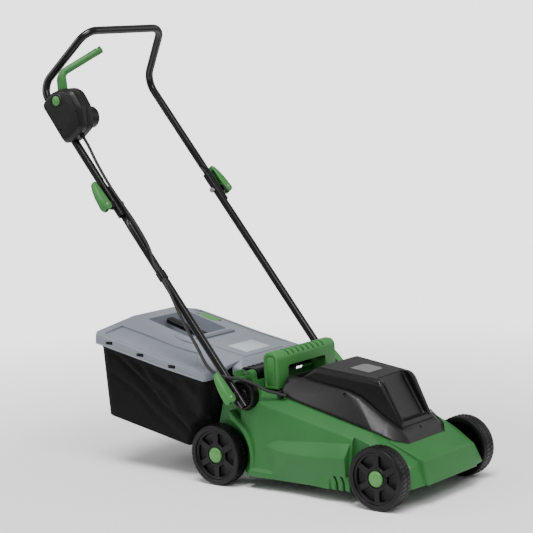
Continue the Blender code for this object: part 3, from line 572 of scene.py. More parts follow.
def tubeShape(points, radius, sides=24, squeeze=None, capped=True, radii=None):
    # a round bar along the points, with its length and girth in the UV map named run
    shape = bmesh.new()
    points = [Vector(p) for p in points]
    tangents = [(b - a).normalized() for a, b in zip(points, points[1:])]
    tangents = [tangents[0]] + [(a + b).normalized() for a, b in zip(tangents, tangents[1:])] + [tangents[-1]]
    side = tangents[0].orthogonal().normalized()
    rings, lengths = [], [0.0]
    for index, (point, tangent) in enumerate(zip(points, tangents)):
        side = (side - tangent * side.dot(tangent)).normalized()
        other = tangent.cross(side)
        size = radii[index] if radii else radius
        ring = []
        for step in range(sides):
            angle = 2 * math.pi * step / sides
            place = point + (side * math.cos(angle) + other * math.sin(angle)) * size
            ring.append(shape.verts.new(squeeze(place) if squeeze else place))
        rings.append(ring)
        if index:
            lengths.append(lengths[-1] + (point - points[index - 1]).length)
    layer = shape.loops.layers.uv.new("run")
    for index, (first, second) in enumerate(zip(rings, rings[1:])):
        for step in range(sides):
            after = (step + 1) % sides
            face = shape.faces.new([first[step], first[after], second[after], second[step]])
            face.smooth = True
            girth = [(step, index), (step + 1, index), (step + 1, index + 1), (step, index + 1)]
            for loop, (a, b) in zip(face.loops, girth):
                loop[layer].uv = (lengths[b] * 10, a / sides * 0.226)
    if capped:
        shape.faces.new(list(reversed(rings[0])))
        shape.faces.new(rings[-1])
    return fromBmesh("tube", shape)


def changed(made, operation, others):
    for other in others:
        step = made.modifiers.new(operation, "BOOLEAN")
        step.operation = operation
        step.solver = "MANIFOLD"
        step.object = other
    result = applied(made)
    for other in others:
        bpy.data.objects.remove(other, do_unlink=True)
    return result


def without(made, *others):
    return changed(made, "DIFFERENCE", others)


def together(made, *others):
    return changed(made, "UNION", others)


def arcPoints(centre, radius, start, end, steps):
    return [
        (
            centre[0] + radius * math.cos(math.radians(start + (end - start) * i / steps)),
            centre[1] + radius * math.sin(math.radians(start + (end - start) * i / steps))
        )
        for i in range(steps + 1)
    ]


def piece(made, name, body, finish, replaced=(), sharp=32):
    # gives a finished mesh its name, place, finish and body
    shape = bmesh.new()
    shape.from_mesh(made.data)
    bmesh.ops.remove_doubles(shape, verts=shape.verts, dist=0.000004)
    bmesh.ops.dissolve_degenerate(shape, dist=0.000004, edges=shape.edges)
    shape.to_mesh(made.data)
    shape.free()
    made.data.transform(Matrix.Translation((0, axleY, 0)))
    made.name = name
    made.data.name = name
    made.data.shade_smooth()
    made.data.set_sharp_from_angle(angle=math.radians(sharp))
    made.data.materials.clear()
    made.data.materials.append(finish)
    spare.objects.unlink(made)
    bpy.context.scene.collection.objects.link(made)
    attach(made, body)
    if replaced:
        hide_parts(*replaced)
    return made


def dress(node, finish):
    for place in frame["nodes"][node].material_slots:
        place.material = finish


# Geometry Nodes: rows of small shapes along a path, and shapes on points

def newTree(name, inputs):
    tree = bpy.data.node_groups.new(name, "GeometryNodeTree")
    tree.interface.new_socket(name="Geometry", in_out="INPUT", socket_type="NodeSocketGeometry")
    for label, kind, value in inputs:
        socket = tree.interface.new_socket(name=label, in_out="INPUT", socket_type=kind)
        if value is not None:
            socket.default_value = value
    tree.interface.new_socket(name="Geometry", in_out="OUTPUT", socket_type="NodeSocketGeometry")
    return tree


def rowTree():
    # a block of Size every Spacing along a path, its X along the path and its Z along the attribute up
    tree = newTree(
        "rowOfBlocks",
        [
            ("Spacing", "NodeSocketFloat", 0.006), ("Size", "NodeSocketVector", (0.002, 0.002, 0.002)),
            ("Lean", "NodeSocketFloat", 0.0), ("Seed", "NodeSocketInt", 3),
            ("Material", "NodeSocketMaterial", None)
        ]
    )
    nodes, link = tree.nodes, tree.links.new
    given, result = nodes.new("NodeGroupInput"), nodes.new("NodeGroupOutput")
    curve, even = nodes.new("GeometryNodeMeshToCurve"), nodes.new("GeometryNodeResampleCurve")
    even.mode = "LENGTH"
    tangent = nodes.new("GeometryNodeInputTangent")
    upward = nodes.new("GeometryNodeInputNamedAttribute")
    upward.data_type = "FLOAT_VECTOR"
    upward.inputs["Name"].default_value = "up"
    first = nodes.new("FunctionNodeAlignRotationToVector")
    second = nodes.new("FunctionNodeAlignRotationToVector")
    first.axis, second.axis, second.pivot_axis = "X", "Z", "X"
    lean = nodes.new("FunctionNodeRotateRotation")
    lean.rotation_space = "LOCAL"
    angle = nodes.new("ShaderNodeCombineXYZ")
    vary = nodes.new("FunctionNodeRandomValue")
    vary.data_type = "FLOAT"
    vary.inputs["Min"].default_value = 0.94
    vary.inputs["Max"].default_value = 1.06
    block, place = nodes.new("GeometryNodeMeshCube"), nodes.new("GeometryNodeInstanceOnPoints")
    real, painted = nodes.new("GeometryNodeRealizeInstances"), nodes.new("GeometryNodeSetMaterial")
    link(given.outputs["Geometry"], curve.inputs["Mesh"])
    link(curve.outputs[0], even.inputs["Curve"])
    link(given.outputs["Spacing"], even.inputs["Length"])
    link(tangent.outputs[0], first.inputs["Vector"])
    link(first.outputs[0], second.inputs["Rotation"])
    link(upward.outputs["Attribute"], second.inputs["Vector"])
    link(given.outputs["Lean"], angle.inputs["Z"])
    link(second.outputs[0], lean.inputs["Rotation"])
    link(angle.outputs[0], lean.inputs["Rotate By"])
    link(given.outputs["Seed"], vary.inputs["Seed"])
    link(given.outputs["Size"], block.inputs["Size"])
    link(even.outputs[0], place.inputs["Points"])
    link(block.outputs["Mesh"], place.inputs["Instance"])
    link(lean.outputs[0], place.inputs["Rotation"])
    link(vary.outputs[1], place.inputs["Scale"])
    link(place.outputs[0], real.inputs[0])
    link(real.outputs[0], painted.inputs["Geometry"])
    link(given.outputs["Material"], painted.inputs["Material"])
    link(painted.outputs[0], result.inputs[0])
    return tree


def spotTree():
    # a copy of Shape on every point, its Z along the attribute up
    tree = newTree(
        "shapesOnPoints",
        [
            ("Shape", "NodeSocketObject", None), ("Scale", "NodeSocketFloat", 1.0),
            ("Seed", "NodeSocketInt", 5), ("Material", "NodeSocketMaterial", None)
        ]
    )
    nodes, link = tree.nodes, tree.links.new
    given, result = nodes.new("NodeGroupInput"), nodes.new("NodeGroupOutput")
    shape = nodes.new("GeometryNodeObjectInfo")
    upward = nodes.new("GeometryNodeInputNamedAttribute")
    upward.data_type = "FLOAT_VECTOR"
    upward.inputs["Name"].default_value = "up"
    turn, spin = nodes.new("FunctionNodeAlignRotationToVector"), nodes.new("FunctionNodeRotateRotation")
    turn.axis = "Z"
    spin.rotation_space = "LOCAL"
    angle, vary = nodes.new("ShaderNodeCombineXYZ"), nodes.new("FunctionNodeRandomValue")
    vary.data_type = "FLOAT"
    vary.inputs["Max"].default_value = 3.1
    place = nodes.new("GeometryNodeInstanceOnPoints")
    real, painted = nodes.new("GeometryNodeRealizeInstances"), nodes.new("GeometryNodeSetMaterial")
    link(given.outputs["Shape"], shape.inputs["Object"])
    link(upward.outputs["Attribute"], turn.inputs["Vector"])
    link(given.outputs["Seed"], vary.inputs["Seed"])
    link(vary.outputs[1], angle.inputs["Z"])
    link(turn.outputs[0], spin.inputs["Rotation"])
    link(angle.outputs[0], spin.inputs["Rotate By"])
    link(given.outputs["Geometry"], place.inputs["Points"])
    link(shape.outputs["Geometry"], place.inputs["Instance"])
    link(spin.outputs[0], place.inputs["Rotation"])
    link(given.outputs["Scale"], place.inputs["Scale"])
    link(place.outputs[0], real.inputs[0])
    link(real.outputs[0], painted.inputs["Geometry"])
    link(given.outputs["Material"], painted.inputs["Material"])
    link(painted.outputs[0], result.inputs[0])
    return tree


rows = rowTree()
spots = spotTree()


def grown(tree, paths, values):
    # runs a tree on paths of (point, up) pairs and returns the plain mesh; a path of one point stays a point
    shape = bmesh.new()
    layer = shape.verts.layers.float_vector.new("up")
    for path in paths:
        made = []
        for point, up in path:
            vertex = shape.verts.new(point)
            vertex[layer] = up
            made.append(vertex)
        for a, b in zip(made, made[1:]):
            shape.edges.new((a, b))
    mesh = bpy.data.meshes.new(tree.name)
    shape.to_mesh(mesh)
    shape.free()
    made = asObject(tree.name, mesh)
    grow = made.modifiers.new("grow", "NODES")
    grow.node_group = tree
    sockets = {item.name: item.identifier for item in tree.interface.items_tree if item.in_out == "INPUT"}
    for key, value in values.items():
        grow[sockets[key]] = value
    return applied(made)


def screwHead():
    # a small pan-head screw with a cross recess, its Z outwards
    head = turnedShape(
        [(0.0, 0.0011), (0.0016, 0.0010), (0.0028, 0.0006), (0.0032, 0.0), (0.0032, -0.0010), (0.0, -0.0010)],
        20, closed=False
    )
    head = without(
        head, boxShape((-0.0019, -0.00035, 0.0003), (0.0019, 0.00035, 0.003)),
        boxShape((-0.00035, -0.0019, 0.0003), (0.00035, 0.0019, 0.003))
    )
    head.name = "screwHead"
    return head


screwShape = screwHead()


def screwsOn(name, places, body, finish=None, scale=1.0):
    finish = finish or zinc
    made = grown(
        spots, [[(Vector(p), Vector(up).normalized())] for p, up in places],
        {"Shape": screwShape, "Scale": scale, "Seed": 7, "Material": finish}
    )
    return piece(made, name, body, finish)


# deck

deckLook = {
    "edge": 0.0045, "wall": 0.003, "wellX": 0.147, "archRadius": 0.088, "teeth": 3, "toothGap": 0.0185
}
deckTop = [
    (0.120, 0.345, 0.2192), (0.120, 0.055, 0.1530), (0.100, 0.009, 0.1310), (0.067, -0.014, 0.1190),
    (0.090, -0.052, 0.0960)
]
deckSide = [
    (0.155, 0.390, 0.2090), (0.155, 0.345, 0.2000), (0.155, 0.110, 0.1490), (0.155, 0.055, 0.1330),
    (0.144, 0.000, 0.1160),
    (0.128, -0.055, 0.0900), (0.146, -0.066, 0.0450), (0.172, 0.390, 0.0280), (0.172, 0.080, 0.0280),
    (0.120, 0.390, 0.2260),
    (0.098, -0.072, 0.0450),
]
handlePivot = Vector((0.0, 0.373, 0.214))
flapAxis = Vector((0.0, 0.3685, 0.2565))
wheelbase = 0.4445


def deckForm(inset):
    points = []
    for x, y, z in deckTop + deckSide:
        points.append(
            (x - inset, y + (inset if y < 0 else 0) + (0.010 if inset and y >= 0.390 else 0), z - inset * 1.1)
        )
    if inset:
        points += [(x, y, -0.010) for x, y, z in points if z < 0.06]
    form = hullShape(points)
    if not inset:
        form = softened(form, deckLook["edge"], 3, 14)
    cutters = []
    for side in (-1, 1):
        edge = side * (deckLook["wellX"] - inset)
        far = side * 0.3
        cutters.append(boxShape((min(edge, far), -0.2, -0.1), (max(edge, far), 0.080 + inset, 0.3)))
        cutters.append(
            rodShape((edge, wheelbase, 0.072), (far, wheelbase, 0.072), deckLook["archRadius"] + inset, 72)
        )
        cutters.append(
            rodShape(
                (side * (0.149 - inset), handlePivot.y, handlePivot.z), (far, handlePivot.y, handlePivot.z),
                0.0375 + inset, 56
            )
        )
    return without(form, *cutters)


def deckArm(side):
    outline = [
        (0.340, 0.036), (0.470, 0.036), (0.476, 0.070), (0.464, 0.130), (0.451, 0.180), (0.424, 0.232),
        (0.414, 0.243), (0.413, 0.262),
        (0.3965, 0.266), (0.394, 0.249), (0.386, 0.250),
        *arcPoints((flapAxis.y, flapAxis.z), 0.0112, 10, 190, 12), (0.350, 0.225), (0.340, 0.200),
    ]
    low, high = sorted((side * 0.1300, side * deckLook["wellX"]))
    return softened(outlineShape(outline, low, high), 0.0022, 2, 25)


def archFlare(side):
    # the lip that runs round the rear wheel and up into the arm
    outer = arcPoints((wheelbase, 0.072), 0.099, 204, 136, 14) + [(0.392, 0.158), (0.412, 0.176)]
    inner = arcPoints((wheelbase, 0.072), deckLook["archRadius"] + 0.0002, 112, 206, 22)
    low, high = sorted((side * 0.146, side * 0.1722))
    return softened(outlineShape(outer + inner, low, high), 0.0035, 3, 40)


def sideShelf(side):
    # the lower wall, which stands proud below a leaf-shaped ledge
    points = [
        (0.1575, 0.281, 0.1260), (0.1570, 0.230, 0.1295), (0.1570, 0.182, 0.1305), (0.1570, 0.086, 0.1310),
        (0.1630, 0.322, 0.1035), (0.1600, 0.306, 0.1150),
        (0.1800, 0.268, 0.0985), (0.1822, 0.228, 0.0955), (0.1826, 0.183, 0.0955), (0.1815, 0.130, 0.0985),
        (0.1800, 0.086, 0.1030),
        (0.1755, 0.230, 0.0400), (0.1755, 0.086, 0.0400), (0.1722, 0.290, 0.0320), (0.1735, 0.086, 0.0300),
        (0.1500, 0.281, 0.1180), (0.1500, 0.086, 0.1250), (0.1500, 0.320, 0.1000), (0.1600, 0.290, 0.0320),
        (0.1600, 0.086, 0.0300),
    ]
    return softened(hullShape([(side * x, y, z) for x, y, z in points], mirrored=False), 0.0016, 2, 14)


def footFlange(side):
    rear = [
        (0.1700, 0.362, 0.0300), (0.1760, 0.362, 0.0300), (0.1760, 0.356, 0.0420), (0.1700, 0.358, 0.0500),
        (0.1765, 0.300, 0.0300), (0.1750, 0.290, 0.0420), (0.1690, 0.288, 0.0500), (0.1700, 0.280, 0.0300),
        (0.162, 0.36, 0.034), (0.162, 0.29, 0.034)
    ]
    front = [
        (0.1730, 0.210, 0.0310), (0.1730, 0.210, 0.0480), (0.1785, 0.130, 0.0530), (0.1790, 0.130, 0.0290),
        (0.1660, 0.130, 0.0300), (0.1660, 0.130, 0.0580), (0.1650, 0.200, 0.0320)
    ]
    return [
        softened(hullShape([(side * x, y, z) for x, y, z in points], mirrored=False), 0.0012, 2, 30)
        for points in (rear, front)
    ]


def combTooth(side, index):
    y = 0.1245 - deckLook["toothGap"] * index
    outline = [
        (y - 0.0105, 0.0290), (y - 0.0020, 0.0290), (y + 0.0015, 0.0400), (y + 0.0035, 0.0590),
        (y - 0.0040, 0.0600), (y - 0.0100, 0.0480)
    ]
    low, high = sorted((side * 0.164, side * (0.1775 - 0.001 * index)))
    return softened(outlineShape(outline, low, high), 0.0011, 2, 30)


def combNotches():
    found = []
    for side in (-1, 1):
        for index in range(deckLook["teeth"]):
            y = 0.1245 - deckLook["toothGap"] * index
            outline = [
                (y - 0.0170, 0.0200), (y - 0.0112, 0.0200), (y - 0.0108, 0.0480), (y - 0.0045, 0.0612),
                (y - 0.0120, 0.0600), (y - 0.0165, 0.0470)
            ]
            low, high = sorted((side * 0.1660, side * 0.20))
            found.append(outlineShape(outline, low, high))
    return found


def noseForm():
    # the raised middle of the nose, a step above the fenders
    points = [
        (0.111, 0.018, 0.1372), (0.103, -0.004, 0.1275), (0.0960, -0.0655, 0.0985), (0.1010, -0.0790, 0.0450),
        (0.111, 0.018, 0.1100), (0.104, -0.030, 0.0500), (0.060, -0.014, 0.1200),
    ]
    return softened(hullShape(points), 0.0075, 5, 18)


def makeDeck():
    deck = deckForm(0.0)
    deck = together(deck, noseForm())
    inner = deckForm(deckLook["wall"])
    ring = rodShape((0, 0.172, 0.030), (0, 0.172, 0.105), 0.162, 96)
    ring = without(
        ring, rodShape((0, 0.172, 0.02), (0, 0.172, 0.102), 0.159, 96),
        boxShape((-0.105, 0.268, 0), (0.105, 0.4, 0.2))
    )
    inner = without(inner, boxShape((-0.090, 0.084, 0.102), (0.090, 0.268, 0.164)), ring)
    deck = without(deck, inner)
    added = []
    for side in (-1, 1):
        added += [deckArm(side), sideShelf(side), archFlare(side), *footFlange(side)]
        added += [combTooth(side, index) for index in range(deckLook["teeth"])]
    deck = together(deck, *added)
    deck = without(
        deck,
        boxShape((-0.087, 0.087, 0.105), (0.087, 0.265, 0.3)),
        boxShape((-0.105, 0.262, 0.1), (0.105, 0.330, 0.175)),
        boxShape((-0.130, 0.330, -0.05), (0.130, 0.3545, 0.205)),
        boxShape((-0.130, 0.3588, -0.05), (0.130, 0.5, 0.3)),
        rodShape((0, 0.172, 0.05), (0, 0.172, 0.2), 0.016),
        *combNotches(),
        rodShape((-0.3, 0, 0.070), (0.3, 0, 0.070), 0.0053, 24),
        rodShape((-0.3, wheelbase, 0.070), (0.3, wheelbase, 0.070), 0.0053, 24),
        rodShape((-0.3, flapAxis.y, flapAxis.z), (0.3, flapAxis.y, flapAxis.z), 0.0028, 20),
        rodShape((-0.3, handlePivot.y, handlePivot.z), (0.3, handlePivot.y, handlePivot.z), 0.0034, 20),
    )
    deck = together(
        deck,
        outlineShape([(0.3542, 0.2150), (0.3586, 0.2150), (0.3570, 0.2440), (0.3542, 0.2440)], -0.133, 0.133)
    )
    return piece(deck, "deckShell", "chassis", green, ["deck_housing"], sharp=28)


makeDeck()
print("deck made")


# motor cover

coverLook = {"edge": 0.0055, "wall": 0.0028, "seamGap": 0.0052, "ventCount": 9}
skirtFoot = [
    (0.1185, 0.306, 0.2116), (0.1185, 0.055, 0.1547), (0.0990, 0.0095, 0.1328), (0.0665, -0.0135, 0.1206)
]
skirtRidge = [
    (0.092, 0.304, 0.250), (0.092, 0.256, 0.248), (0.090, 0.140, 0.231), (0.088, 0.107, 0.219),
    (0.085, 0.084, 0.204), (0.080, 0.042, 0.174)
]
skirtNose = [
    (0.0990, 0.0095, 0.1325), (0.1100, 0.0350, 0.1460), (0.0665, -0.0135, 0.1203), (0.0670, -0.0080, 0.1280),
    (0.0690, 0.0050, 0.1480), (0.0800, 0.0420, 0.1740)
]
humpForm = [
    (0.076, 0.225, 0.276), (0.062, 0.067, 0.2575), (0.0815, 0.236, 0.264), (0.070, 0.060, 0.246),
    (0.0815, 0.302, 0.230), (0.0815, 0.302, 0.2145), (0.0815, 0.140, 0.1850), (0.0740, 0.055, 0.1600),
    (0.0620, 0.009, 0.1535), (0.0620, 0.0125, 0.1330)
]


def drawnIn(points, wall, drop=0.0):
    inner = [(x - wall, y - wall if y > 0.15 else y + wall * 1.3, z - wall) for x, y, z in points]
    return inner + [
        (x - wall, y - wall if y > 0.15 else y + wall * 1.3, z - drop) for x, y, z in points if drop
    ]


def screwWell(place, direction, radius=0.0042, depth=0.004):
    place, direction = Vector(place), Vector(direction).normalized()
    return rodShape(place - direction * depth, place + direction * 0.02, radius, 28)


coverScrews = {
    "side": [((side * 0.0945, 0.141, 0.2245), (side * 0.85, 0.1, 0.52)) for side in (-1, 1)],
    "tab": [((side * 0.1010, 0.296, 0.2400), (side * 0.80, 0.0, 0.60)) for side in (-1, 1)],
    "plate": [((0.0, 0.0035, 0.1475), (0, -0.82, 0.57))],
}


def plateForm(grow=0.0):
    top = [
        (0.0470, 0.0215, 0.1660), (0.0615, 0.0085, 0.1530), (0.0670, -0.0080, 0.1280),
        (0.0665, -0.0132, 0.1210)
    ]
    under = [(x, y + 0.0020, z - 0.0030) for x, y, z in top]
    return hullShape(
        [
            (x + grow, y + dy, z + dz) for x, y,
            z in top + under for dy in (-grow, grow) for dz in (-grow, grow)
        ]
    )


def makeSkirt():
    skirt = softened(hullShape(skirtFoot + skirtRidge), 0.0060, 4, 12)
    skirt = together(skirt, softened(hullShape(skirtNose), 0.0050, 4, 16))
    skirt = without(
        skirt,
        hullShape(drawnIn(skirtFoot, coverLook["wall"], 0.030) + drawnIn(skirtRidge, coverLook["wall"]))
    )
    outline = [(0.0630, 0.0120), (0.0745, 0.0550), (0.0820, 0.1400), (0.0820, 0.3025)]
    opening = outlineShape(outline + [(-x, y) for x, y in reversed(outline)], 0.080, 0.320, "Z")
    plate = softened(plateForm(), 0.0008, 2, 30)
    skirt = without(skirt, opening)
    skirt = together(skirt, plate)
    wells = [screwWell(p, d) for key in ("side", "tab", "plate") for p, d in coverScrews[key]]
    skirt = without(
        skirt,
        hullShape([(x + (0 if z < 0.06 else 0.0002), y, z + 0.0003) for x, y, z in deckTop + deckSide]),
        *wells
    )
    return piece(skirt, "skirtShell", "chassis", skirtGrey, ["cover_skirt"], sharp=26)


def makeHump():
    hump = softened(hullShape(humpForm), coverLook["edge"], 4, 12)
    bay = softened(
        hullShape(
            [
                (0.0500, 0.0850, 0.2600), (0.0500, 0.0620, 0.2900), (0.0500, -0.060, 0.2400),
                (0.0500, -0.060, 0.1600), (0.0500, 0.0290, 0.1670)
            ]
        ),
        0.005, 4, 30
    )
    inner = hullShape(drawnIn(humpForm, coverLook["wall"], 0.060))
    backing = hullShape(
        [
            (0.0530, 0.0885, 0.2600), (0.0530, 0.0325, 0.1670), (0.0530, 0.0325, 0.1500),
            (0.0530, 0.0, 0.1300), (0.0530, 0.0, 0.2900)
        ]
    )
    inner = without(inner, backing)
    vents = [
        boxShape((-0.060 + 0.0135 * i, 0.290, 0.2165), (-0.0555 + 0.0135 * i, 0.320, 0.2275))
        for i in range(coverLook["ventCount"])
    ]
    hump = without(
        hump, inner, bay, plateForm(0.0005), boxShape((-0.2, -0.1, 0.1), (0.2, 0.0126, 0.1538)),
        hullShape([(x, y, z + 0.0003) for x, y, z in deckTop + deckSide]), *vents
    )
    return piece(hump, "humpShell", "chassis", coverBlack, ["motor_cover"], sharp=26)


def makeCoverDetails():
    # fine comb along the seam between the cover and the deck
    paths = []
    for side in (-1, 1):
        path = []
        for a, b in zip(skirtFoot, skirtFoot[1:]):
            for step in range(8):
                point = Vector(a).lerp(Vector(b), step / 8)
                path.append(
                    (
                        (side * (point.x + 0.0004), point.y, point.z + 0.0026),
                        Vector((side * 0.75, -0.1, 0.62))
                    )
                )
        paths.append(path)
    comb = grown(
        rows, paths,
        {
            "Spacing": coverLook["seamGap"], "Size": (0.0022, 0.0032, 0.0030), "Lean": 0.0, "Seed": 11,
            "Material": skirtGrey
        }
    )
    piece(comb, "seamComb", "chassis", skirtGrey)
    screwsOn(
        "coverScrews",
        [
            (Vector(p) - Vector(d).normalized() * 0.0026, d) for group in coverScrews.values() for p,
            d in group
        ],
        "chassis", finish=smallBlack, scale=1.05
    )
    # blank label on the hump's top
    slope = (0.276 - 0.2575) / (0.225 - 0.067)
    label = outlineShape(
        [(-0.030, 0.118), (0.022, 0.118), (0.030, 0.126), (0.030, 0.163), (0.022, 0.170), (-0.030, 0.170)],
        0.0, 0.0006, "Z"
    )
    label.data.transform(
        Matrix.Translation((0, 0, 0.2575 - 0.067 * slope + 0.00015)) @ Matrix(
            ((1, 0, 0, 0), (0, 1, 0, 0), (0, slope, 1, 0), (0, 0, 0, 1))
        )
    )
    piece(label, "coverLabel", "chassis", labelGrey)
    # two raised ribs beside the bay
    for side, word in ((-1, "near"), (1, "far")):
        line = [
            Vector((side * 0.0545, 0.0690, 0.2548)), Vector((side * 0.0550, 0.0625, 0.2490)),
            Vector((side * 0.0552, 0.0500, 0.2265)), Vector((side * 0.0548, 0.0290, 0.1880)),
            Vector((side * 0.0540, 0.0190, 0.1700)), Vector((side * 0.0536, 0.0155, 0.1640))
        ]
        rib = tubeShape(smoothLine(line, 26), 0.0040, 14)
        piece(rib, f"bayRib_{word}", "chassis", coverBlack)


def smoothLine(points, count):
    # points at even steps along a smooth curve through the given ones
    points = [Vector(p) for p in points]
    points = [2 * points[0] - points[1]] + points + [2 * points[-1] - points[-2]]
    dense = []
    for a, b, c, d in zip(points, points[1:], points[2:], points[3:]):
        for step in range(24):
            t = step / 24
            dense.append(
                0.5
                * (2 * b + (c - a) * t + (2 * a - 5 * b + 4 * c - d) * t**2 + (3 * b - a - 3 * c + d) * t**3)
            )
    dense.append(points[-2])
    lengths = [0.0]
    for a, b in zip(dense, dense[1:]):
        lengths.append(lengths[-1] + (b - a).length)
    found, index = [], 0
    for step in range(count):
        wanted = lengths[-1] * step / (count - 1)
        while index < len(lengths) - 2 and lengths[index + 1] < wanted:
            index += 1
        found.append(
            dense[index].lerp(
                dense[index + 1], (wanted - lengths[index]) / (lengths[index + 1] - lengths[index])
            )
        )
    return found


makeSkirt()
makeHump()
makeCoverDetails()
print("motor cover made")


# carry handle

carryLook = {"half": 0.112, "front": 0.3125, "rear": 0.3538, "top": 0.3050, "slots": 8, "slotWidth": 0.0062}


def archOutline(front, rear, foot, top, radius, steps=7):
    return [
        (front, foot), *reversed(arcPoints((front + radius, top - radius), radius, 90, 180, steps)),
        *reversed(arcPoints((rear - radius, top - radius), radius, 0, 90, steps)), (rear, foot)
    ]


def makeCarryHandle():
    look = carryLook
    body = outlineShape(
        archOutline(look["front"], look["rear"], 0.2206, look["top"], 0.0165), -look["half"], look["half"]
    )
    body = softened(body, 0.0030, 3, 40)
    opening = softened(boxShape((-0.0715, 0.28, 0.150), (0.0715, 0.40, 0.2715)), 0.007, 3, 40)
    slots = []
    for index in range(look["slots"]):
        x = -0.0665 + 0.019 * index
        slots.append(
            softened(
                boxShape(
                    (x - look["slotWidth"] / 2, 0.295, 0.2930), (x + look["slotWidth"] / 2, 0.3400, 0.330)
                ),
                0.0012, 2, 40
            )
        )
    panels = []
    for side in (-1, 1):
        low, high = sorted((side * 0.1105, side * 0.130))
        panels.append(
            softened(
                outlineShape(
                    archOutline(
                        look["front"] + 0.0065, look["rear"] - 0.0065, 0.2270, look["top"] - 0.0075, 0.0105
                    ),
                    low, high
                ),
                0.0010, 2, 40
            )
        )
    body = without(body, opening, *slots, *panels)
    pads = []
    for side in (-1, 1):
        low, high = sorted((side * 0.1080, side * 0.1122))
        pads.append(
            softened(
                outlineShape(
                    archOutline(
                        look["front"] + 0.0100, look["rear"] - 0.0100, 0.2300, look["top"] - 0.0115, 0.0080
                    ),
                    low, high
                ),
                0.0012, 2, 40
            )
        )
    body = together(body, *pads)
    return piece(body, "carryGrip", "chassis", leverGreen, ["carry_handle"], sharp=30)


makeCarryHandle()
print("carry handle made")


# wheels

wheelLook = {"radius": 0.0690, "treads": 44, "spokes": 6}


def wheelForm():
    profile = [
        (0.0640, 0.0400), (0.0668, 0.0396), (0.0684, 0.0382), (0.0690, 0.0360), (0.0690, 0.0040),
        (0.0682, 0.0016), (0.0664, 0.0003), (0.0640, 0.0),
        (0.0585, 0.0), (0.0570, 0.0205), (0.0130, 0.0205), (0.0130, 0.0), (0.0053, 0.0), (0.0053, 0.0332),
        (0.0210, 0.0332), (0.0214, 0.0352), (0.0236, 0.0352), (0.0246, 0.0335),
        (0.0535, 0.0325), (0.0560, 0.0345), (0.0568, 0.0388), (0.0580, 0.0398), (0.0600, 0.0392),
        (0.0612, 0.0392), (0.0622, 0.0400),
    ]
    wheel = turnedShape(profile, 96)
    pockets = []
    for index in range(wheelLook["spokes"]):
        turn = 360 / wheelLook["spokes"] * index + 30
        outline = arcPoints(
            (0, 0), 0.0272, turn - 15, turn + 15, 4
        ) + arcPoints((0, 0), 0.0518, turn + 23, turn - 23, 8)
        pocket = softened(outlineShape(outline, 0.0240, 0.060, "Z"), 0.0022, 2, 40)
        pockets.append(pocket)
    return without(wheel, *pockets)


def makeWheels():
    source = wheelForm()
    ringPoints = 88
    for end, y in (("front", 0.0), ("rear", wheelbase)):
        for side, word in ((-1, "near"), (1, "far")):
            body = f"wheel_{end}_{word}"
            place = Matrix.Translation((side * 0.151, y, 0.070)) @ Matrix.Rotation(side * math.pi / 2, 4, "Y")
            mesh = source.data.copy()
            mesh.transform(place)
            piece(
                asObject("wheel", mesh), f"wheelBody_{end}_{word}", body, wheelBlack, [body],
                sharp=30
            )
            # tread: two staggered rows of blocks
            paths = []
            for axial, shift in ((0.0285, 0.0), (0.0115, 0.5)):
                ring = []
                for i in range(ringPoints + 1):
                    angle = 2 * math.pi * (i + shift * 2) / ringPoints
                    outward = Vector((0, math.cos(angle), math.sin(angle)))
                    ring.append((Vector((side * (0.151 + axial), y, 0.070)) + outward * 0.0688, outward))
                paths.append(ring)
            spacing = 2 * math.pi * 0.0688 / wheelLook["treads"]
            tread = grown(
                rows, paths,
                {
                    "Spacing": spacing, "Size": (0.0050, 0.0125, 0.0022), "Lean": 0.45, "Seed": 4,
                    "Material": wheelBlack
                }
            )
            piece(tread, f"tread_{end}_{word}", body, wheelBlack)
            cap = turnedShape(
                [
                    (0.0, 0.0408), (0.0072, 0.0405), (0.0126, 0.0396), (0.0160, 0.0382), (0.0172, 0.0368),
                    (0.0175, 0.0350), (0.0175, 0.0336), (0.0, 0.0336)
                ],
                48, closed=False
            )
            cap = without(cap, rodShape((0.0095, -0.0070, 0.0380), (0.0095, -0.0070, 0.05), 0.0009, 12))
            cap.data.transform(place)
            piece(cap, f"hubDome_{end}_{word}", body, brightGreen, [f"hub_cap_{end}_{word}"])
    bpy.data.objects.remove(source, do_unlink=True)


makeWheels()
print("wheels made")


# rear flap, pivots, motor and blade

flapLook = {"ribs": 0.0155, "barrel": 0.0108}


def makeFlap():
    y, z = flapAxis.y, flapAxis.z
    barrel = softened(rodShape((-0.124, y, z), (0.124, y, z), flapLook["barrel"], 48), 0.0012, 2, 50)
    plate = softened(
        outlineShape(
            [(y + 0.002, z + 0.0103), (y + 0.002, z + 0.0073), (0.4135, 0.2608), (0.4135, 0.2634)], -0.116,
            0.116
        ),
        0.0007, 2, 40
    )
    barrel = together(barrel, plate)
    barrel = without(
        barrel, rodShape((-0.2, y, z), (0.2, y, z), 0.0028, 20),
        boxShape((-0.0400, y - 0.02, z - 0.02), (-0.0240, y + 0.02, z + 0.0065))
    )
    piece(barrel, "flapPanel", "flap", smallBlack, ["rear_flap"])
    path = [(Vector((-0.112 + 0.224 * i / 30, 0.3960, 0.2647)), Vector((0, 0, 1))) for i in range(31)]
    ribs = grown(
        rows, [path],
        {
            "Spacing": flapLook["ribs"], "Size": (0.0018, 0.0300, 0.0016), "Lean": 0.0, "Seed": 2,
            "Material": smallBlack
        }
    )
    piece(ribs, "flapRibs", "flap", smallBlack)


